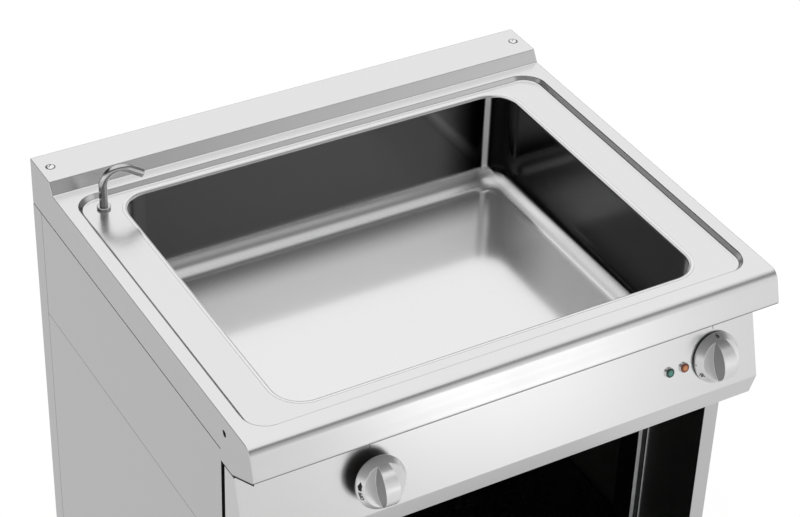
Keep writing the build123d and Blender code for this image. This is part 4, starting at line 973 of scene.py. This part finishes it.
@dataclass
class KnobMarks:
    """Printed marks on a knob's conical skirt and the black dished plate in its hollow back."""

    joint: str
    body: str
    paint: Paintbox
    rim_radius: float = 37.0 * MM
    rim_height: float = 2.5 * MM
    shoulder_radius: float = 30.2 * MM
    shoulder_height: float = 13.5 * MM
    standoff: float = 2.4 * MM
    lift: float = 0.15 * MM
    capital_share: float = 0.7
    bold_share: float = 0.06
    letter_steps: int = 3
    outline_cuts: int = 2
    plate_sides: int = 96
    plate_inner: float = 8.2 * MM
    plate_outer: float = 33.4 * MM
    plate_depth: float = 0.4 * MM
    plate_thick: float = 1.2 * MM
    hub_width: float = 2.0 * MM
    hub_rise: float = 1.6 * MM
    dish_rise: float = 1.2 * MM
    rim_width: float = 3.0 * MM

    def axes(self) -> Matrix:
        """Give the knob's own axes, on the knob's rim plane."""
        return panel_axes(self.joint, self.standoff)

    def on_skirt(self, angle: float, along: float, across: float) -> Vector:
        """Find a point on the skirt.

        Args:
            angle: Direction of the mark's middle, in radians from the knob's right.
            along: Distance from the middle, clockwise round the skirt.
            across: Distance outwards from the middle of the skirt's slope.

        Returns:
            The point in the knob's own axes, a little proud of the skirt.
        """
        slope = Vector((self.rim_radius - self.shoulder_radius, self.rim_height - self.shoulder_height))
        length = slope.length
        slope.normalize()
        middle = Vector((self.shoulder_radius, self.shoulder_height)) + slope * (length / 2 + across)
        middle += Vector((-slope.y, slope.x)) * self.lift
        turn = angle - along / middle.x
        return Vector((middle.x * math.cos(turn), middle.x * math.sin(turn), middle.y))

    def wrap(self, flat: bpy.types.Mesh, angle: float) -> None:
        """Lay a flat drawing round the skirt, as a piece that rides on the knob.

        Args:
            flat: The drawing, X along the skirt and Y outwards.
            angle: Direction of its middle, in degrees from the knob's right.
        """
        axes = self.axes()
        for vertex in flat.vertices:
            vertex.co = axes @ self.on_skirt(math.radians(angle), vertex.co.x, vertex.co.y)
        piece = self.paint.piece(flat, "mark_paint")
        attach(piece, self.body)

    def word(self, name: str, text: str, angle: float, height: float) -> None:
        """Print a plain word or number on the skirt.

        Args:
            name: The piece's name.
            text: What it says.
            angle: Direction of its middle, in degrees from the knob's right.
            height: Height of the letters.
        """
        curve = bpy.data.curves.new(name + "_line", "FONT")
        curve.body = text
        curve.size = height / self.capital_share
        curve.align_x = "CENTER"
        curve.align_y = "CENTER"
        curve.offset = self.bold_share * height
        curve.resolution_u = self.letter_steps
        carrier = bpy.data.objects.new(name + "_line", curve)
        bpy.context.scene.collection.objects.link(carrier)
        bpy.context.view_layer.update()
        flat = bpy.data.meshes.new_from_object(carrier)
        flat.name = name
        bpy.data.objects.remove(carrier)
        bpy.data.curves.remove(curve)
        self.wrap(flat, angle)

    def drawing(self, name: str, outline: Sequence[Span], angle: float) -> None:
        """Print a filled outline on the skirt.

        Args:
            name: The piece's name.
            outline: Corner points, X clockwise round the skirt and Y outwards.
            angle: Direction of its middle, in degrees from the knob's right.
        """
        form = bmesh.new()
        form.faces.new([form.verts.new((x, y, 0.0)) for x, y in outline])
        bmesh.ops.triangulate(form, faces=form.faces[:])
        bmesh.ops.subdivide_edges(form, edges=form.edges[:], cuts=self.outline_cuts)
        self.wrap(mesh_of(form, name), angle)

    def back_plate(self, name: str) -> None:
        """Close the knob's hollow back with a black dished ring.

        Args:
            name: The piece's name.
        """
        shown = [(self.plate_inner, self.hub_rise), (self.plate_inner + self.hub_width, self.dish_rise),
                 (self.plate_outer - self.rim_width, 0.0), (self.plate_outer, 0.0)]
        hidden = [(radius, rise + self.plate_thick) for radius, rise in reversed(shown)]
        form = bmesh.new()
        rings = []
        for step in range(self.plate_sides):
            turn = 2 * math.pi * step / self.plate_sides
            rings.append([form.verts.new((r * math.cos(turn), r * math.sin(turn), self.plate_depth + rise))
                          for r, rise in shown + hidden])
        skin(form, rings + rings[:1])
        bmesh.ops.recalc_face_normals(form, faces=form.faces[:])
        mesh = mesh_of(form, name)
        mesh.transform(self.axes())
        piece = self.paint.piece(mesh, "black_plastic")
        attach(piece, self.body)


@dataclass
class WaterKnob(KnobMarks):
    """The water knob: an arrow and OFF on its skirt."""

    standoff: float = 17.5 * MM
    arrow_reach: float = 6.2 * MM
    arrow_head: float = 3.7 * MM
    arrow_stem: float = 2.4 * MM
    arrow_neck: float = -0.2 * MM
    arrow_angle: float = 167.5
    off_angle: float = 192.0
    off_height: float = 5.0 * MM

    def build(self) -> None:
        """Print the marks and close the back."""
        reach, head, stem, neck = self.arrow_reach, self.arrow_head, self.arrow_stem, self.arrow_neck
        arrow = [(-reach, -stem), (neck, -stem), (neck, -head), (reach, 0.0), (neck, head), (neck, stem),
                 (-reach, stem)]
        self.drawing("water_mark_arrow", arrow, self.arrow_angle)
        self.word("water_mark_off", "OFF", self.off_angle, self.off_height)
        self.back_plate("water_knob_back")


@dataclass(frozen=True)
class DialPlace:
    """One marked place on the thermostat's skirt, with a dot, a number or both."""

    angle: float
    dotted: bool
    number: str = ""
    height: float = 5.4 * MM


@dataclass
class ThermostatKnob(KnobMarks):
    """The thermostat knob: zero, dots and plain numbers on its skirt."""

    places: tuple[DialPlace, ...] = (DialPlace(90.0, True, "0", 5.6 * MM), DialPlace(180.0, True),
                                     DialPlace(208.0, True, "30"), DialPlace(270.0, False, "60"),
                                     DialPlace(332.0, False, "90"))
    dot_radius: float = 0.9 * MM
    dot_shift: float = 4.8 * MM
    dot_sides: int = 20

    def build(self) -> None:
        """Print the marks and close the back."""
        turns = [2 * math.pi * i / self.dot_sides for i in range(self.dot_sides)]
        ring = [(self.dot_radius * math.cos(turn), self.dot_shift + self.dot_radius * math.sin(turn))
                for turn in turns]
        for count, place in enumerate(self.places):
            if place.dotted:
                self.drawing(f"thermostat_dot_{count}", ring, place.angle)
            if place.number:
                self.word(f"thermostat_number_{place.number}", place.number, place.angle, place.height)
        self.back_plate("thermostat_knob_back")


@dataclass
class PanelTick:
    """The short dark line above a knob, laid in the panel's shallow groove."""

    name: str
    joint: str
    paint: Paintbox
    rise: float = 43.8 * MM
    length: float = 4.8 * MM
    width: float = 0.84 * MM
    sunk: float = 0.03 * MM
    end_steps: int = 8

    def build(self) -> None:
        """Fill the groove with a line that has rounded ends."""
        radius = self.width / 2
        reach = self.length / 2 - radius
        half_turn = [math.pi * i / self.end_steps for i in range(self.end_steps + 1)]
        ends = [(turn, reach) for turn in half_turn] + [(math.pi + turn, -reach) for turn in half_turn]
        axes = panel_axes(self.joint, -self.sunk)
        spots = [Vector((radius * math.cos(turn), self.rise + shift + radius * math.sin(turn), 0.0))
                 for turn, shift in ends]
        form = bmesh.new()
        form.faces.new([form.verts.new(axes @ spot) for spot in spots])
        piece = self.paint.piece(mesh_of(form, self.name), "mark_paint")
        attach(piece, BODY)


@dataclass
class EndShadowStrip:
    """A dark strip under the sloping lower edge of an end plate, in the gap to the panel: painted shadow for the
    shade that falls there.
    """

    name: str
    side: int
    paint: Paintbox
    plate_half: float = 0.400
    plate: float = 1.5 * MM
    top: float = 0.850
    front_drop: float = 46.5 * MM
    tab_drop: float = 77.0 * MM
    setback: float = 60.5 * MM
    depth: float = 2.4 * MM
    inset: float = 0.1 * MM
    lap: float = 0.2 * MM
    bevel: float = 0.3 * MM
    shoulder: float = 0.7
    first: float = 0.03
    last: float = 0.97

    def build(self) -> None:
        """Run the strip of painted shadow from the nosing's front edge to the tab."""
        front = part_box("worktop")[0][1]
        start = Vector((0.0, front, self.top - self.front_drop))
        run = Vector((0.0, self.setback, self.front_drop - self.tab_drop))
        below = Vector((0.0, run.z, -run.y)).normalized()
        outer = self.plate_half - self.inset
        inner = self.plate_half - self.plate
        flank = self.shoulder * self.depth
        section = [(outer, -self.lap), (outer, flank), (outer - self.bevel, self.depth),
                   (inner + self.bevel, self.depth), (inner, flank), (inner, -self.lap)]
        form = bmesh.new()
        rings = []
        for share in (self.first, 0.5, self.last):
            middle = start + run * share
            rings.append([form.verts.new(middle + below * drop + Vector((self.side * x, 0.0, 0.0)))
                          for x, drop in section])
        skin(form, rings)
        form.faces.new(rings[0])
        form.faces.new(rings[-1])
        bmesh.ops.recalc_face_normals(form, faces=form.faces[:])
        # Painted shadow: a dark rubber strip stands in for the shade in the gap under the end plate.
        piece = self.paint.piece(mesh_of(form, self.name), "gasket_rubber")
        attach(piece, BODY)


@dataclass(frozen=True)
class Softbox:
    """A soft lamp, aimed at the object, which the camera doesn't see."""

    name: str
    place: Point
    size: Span
    power: float
    mirrored: bool
    aim: Point = (0.0, 0.0, 0.7)

    def hang(self) -> None:
        """Hang the lamp."""
        data = bpy.data.lights.new(self.name, "AREA")
        data.shape = "RECTANGLE"
        data.size, data.size_y = self.size
        data.energy = self.power
        holder = bpy.data.objects.new(self.name, data)
        holder.location = self.place
        toward = Vector(self.aim) - Vector(self.place)
        holder.rotation_euler = toward.to_track_quat("-Z", "Y").to_euler()
        holder.visible_camera = False
        holder.visible_glossy = self.mirrored
        bpy.context.scene.collection.objects.link(holder)


@dataclass
class Studio:
    """Plain soft studio: pale floor, a lamp above, a low lamp at the front right, a white window for mirrors.

    Spans of the surround are parts of a direction: X to the right, Y to the rear and Z up, each from -1 to 1.
    """

    floor_half: float = 8.0
    floor_gap: float = 0.5 * MM
    floor_tone: float = 0.92
    floor_rough: float = 0.8
    floor_shown: float = 0.86
    floor_white: float = 1.065
    # The floor's glow in mirrors: brighter to the front and the right, a painted pool of light, and dark under the
    # object, a painted shadow.
    floor_front: float = 0.76
    floor_rear: float = 0.66
    floor_depth: Span = (-1.6, 0.4)
    floor_right: float = 0.09
    right_reach: Span = (1.3, 2.5)
    under_object_shadow: float = 0.08
    shadow_width: Span = (0.40, 0.55)
    shadow_depth: Span = (0.30, 0.44)
    fill: float = 0.62
    dark: float = 0.03
    front_turn: Span = (0.1, -0.4)
    front_rise: Span = (0.75, 0.25)
    front_high: float = 0.15
    front_low: float = 0.64
    front_slant: float = 0.42
    front_middle: Span = (-0.1, 0.1)
    front_sides: Span = (0.55, 1.3)
    ground_rise: Span = (0.28, 0.0)
    beside_turn: Span = (0.3, 0.7)
    beside_rear: Span = (0.5, 0.2)
    horizon_rise: Span = (0.58, 0.16)
    rear_left_glow: float = 0.4
    rear_left_turn: Span = (-0.25, -0.45)
    rear_left_depth: Span = (0.3, 0.5)
    rear_left_rise: Span = (0.34, 0.14)
    window_way: Point = (0.30, 0.55, 0.78)
    window_edge: Span = (0.72, 0.88)
    zenith_edge: Span = (0.74, 0.86)
    key: Softbox = Softbox("key_softbox", (-0.6, -0.4, 3.6), (2.4, 2.4), 42.0, mirrored=False)
    side: Softbox = Softbox("side_softbox", (1.43, -3.3, 0.45), (0.7, 0.9), 1.8, mirrored=True)

    def build(self) -> None:
        """Make floor, surround and lamps."""
        self.floor()
        self.surround()
        self.key.hang()
        self.side.hang()

    def floor(self) -> None:
        """Lay the pale floor just below the feet."""
        half = self.floor_half
        low = CAD_BOX[0][2] - self.floor_gap
        corners = [(-half, -half, low), (half, -half, low), (half, half, low), (-half, half, low)]
        mesh = bpy.data.meshes.new("floor")
        mesh.from_pydata(corners, [], [(0, 1, 2, 3)])
        mesh.materials.append(self.floor_paper())
        floor = bpy.data.objects.new("floor", mesh)
        bpy.context.scene.collection.objects.link(floor)

    def floor_paper(self) -> Material:
        """Make the floor's paper: white to the camera but for a soft shadow. In mirrors it glows, brighter to the
        front and the right, a painted pool of light, and dark under the object, a painted shadow.

        Returns:
            The material.
        """
        coat = Coat("floor_paper")
        coat.set(Base_Color=(*shade(self.floor_tone), 1.0), Roughness=self.floor_rough)
        net = coat.net
        spot = net.split(net.place())
        # Painted pool of light: in mirrors the floor glows brighter to the front and to the right.
        ahead = net.total(net.span(spot["Y"], *self.floor_depth, self.floor_front, self.floor_rear),
                          net.span(spot["X"], *self.right_reach, 0.0, self.floor_right))
        # Painted shadow: in mirrors the floor is dark under the object.
        beside = net.span(net.magnitude(spot["X"]), *self.shadow_width)
        beyond = net.span(net.magnitude(spot["Y"]), *self.shadow_depth)
        mirrored = net.product(ahead, net.math("MAXIMUM", beside, beyond, self.under_object_shadow))
        rays = net.add("ShaderNodeLightPath").outputs
        glow = net.add("ShaderNodeEmission")
        net.join(net.mixed(rays["Is Camera Ray"], mirrored, self.floor_white), glow.inputs["Strength"])
        seen = net.math("MAXIMUM", rays["Is Camera Ray"], rays["Is Glossy Ray"])
        mix = net.add("ShaderNodeMixShader")
        net.join(net.product(seen, self.floor_shown), mix.inputs[0])
        net.join(coat.shader.outputs[0], mix.inputs[1])
        net.join(glow.outputs[0], mix.inputs[2])
        net.join(mix.outputs[0], net.tree.nodes["Material Output"].inputs["Surface"])
        return coat.material

    def surround(self) -> None:
        """Set the world: white to the eye, even as light, and for mirrors a white window over dark walls."""
        world = bpy.data.worlds.new("studio")
        world.use_nodes = True
        bpy.context.scene.world = world
        net = NodeNet(world.node_tree)
        rays = net.add("ShaderNodeLightPath").outputs
        glossy = net.math("MAXIMUM", rays["Is Glossy Ray"], rays["Is Transmission Ray"])
        level = net.mixed(glossy, self.fill, self.mirrored_room(net))
        back = world.node_tree.nodes["Background"]
        back.inputs["Color"].default_value = (1.0, 1.0, 1.0, 1.0)
        net.join(net.mixed(rays["Is Camera Ray"], level, 1.0), back.inputs["Strength"])

    def mirrored_room(self, net: NodeNet) -> Socket:
        """Draw the room that shiny pieces show.

        Args:
            net: The world's net.

        Returns:
            The brightness of each direction.
        """
        place = net.place("Generated")
        way = net.split(place)
        x, y, z = (way[name] for name in "XYZ")
        aim = net.vector("DOT_PRODUCT", place, Vector(self.window_way).normalized())["Value"]
        window = net.span(aim, *self.window_edge)
        above = net.span(z, *self.zenith_edge)
        rise = net.span(z, *self.front_rise, self.front_high, self.front_low)
        across = net.total(x, net.product(y, self.front_slant))
        sway = net.span(across, *self.front_middle, *self.front_sides)
        ground = net.span(z, *self.ground_rise)
        glow = net.total(net.product(rise, sway, net.inverse(ground)), net.product(ground, self.floor_front))
        front = net.product(net.span(y, *self.front_turn), glow)
        beside = net.product(net.span(net.magnitude(x), *self.beside_turn), net.span(y, *self.beside_rear),
                             net.span(z, *self.horizon_rise))
        rear_left = net.product(net.span(x, *self.rear_left_turn), net.span(y, *self.rear_left_depth),
                                net.span(z, *self.rear_left_rise, 0.0, self.rear_left_glow))
        light = net.math("MAXIMUM", front, window, above, rear_left, beside)
        return net.total(net.product(light, 1.0 - self.dark), self.dark)


@dataclass
class PhotoCamera:
    """The camera at the photograph's viewing angle."""

    eye: Point = (-1.35002, -2.25129, 2.69905)
    azimuth: float = 30.96
    elevation: float = 36.01
    roll: float = 2.21
    lens: float = 104.62
    sensor: float = 36.0

    def build(self) -> None:
        """Place the camera and make it the scene's own."""
        data = bpy.data.cameras.new("photo_camera")
        data.sensor_fit = "HORIZONTAL"
        data.sensor_width = self.sensor
        data.lens = self.lens
        camera = bpy.data.objects.new("photo_camera", data)
        side = math.radians(self.azimuth)
        down = math.radians(self.elevation)
        ahead = Vector((math.sin(side) * math.cos(down), math.cos(side) * math.cos(down), -math.sin(down)))
        turn = ahead.to_track_quat("-Z", "Y").to_matrix().to_4x4()
        lean = Matrix.Rotation(math.radians(self.roll), 4, "Z")
        camera.matrix_world = Matrix.Translation(self.eye) @ turn @ lean
        bpy.context.scene.collection.objects.link(camera)
        bpy.context.scene.camera = camera


def main() -> None:
    """Build the dressed object, the studio and the camera."""
    logging.basicConfig(level=logging.INFO, format="%(name)s: %(message)s")
    bpy.context.scene.view_settings.view_transform = "Standard"
    paint = Paintbox()
    CadDress(paint, {
        "base_side_left": "side_steel",
        "base_shelf": "inner_steel",
        "side_stiffeners": "stiffener_steel",
        "spout": "spout_chrome",
        "spout_nut": "spout_chrome",
        "upstand_screws": "dome_steel",
        # The water valve's brass locknut is dressed black: painted shade, as it sits in the shadow behind the
        # knob.
        "water_valve_locknut": "black_plastic",
    }).dress()
    WaterKnob(WATER_JOINT, "water_knob", paint).build()
    ThermostatKnob(THERMOSTAT_JOINT, "thermostat_knob", paint).build()
    PanelTick("water_line", WATER_JOINT, paint).build()
    PanelTick("thermostat_line", THERMOSTAT_JOINT, paint).build()
    # Dark strips of painted shadow under the sloping edges of the end plates.
    EndShadowStrip("end_shadow_strip_left", -1, paint).build()
    EndShadowStrip("end_shadow_strip_right", 1, paint, first=0.16).build()
    Studio().build()
    PhotoCamera().build()


if __name__ == "__main__":
    main()
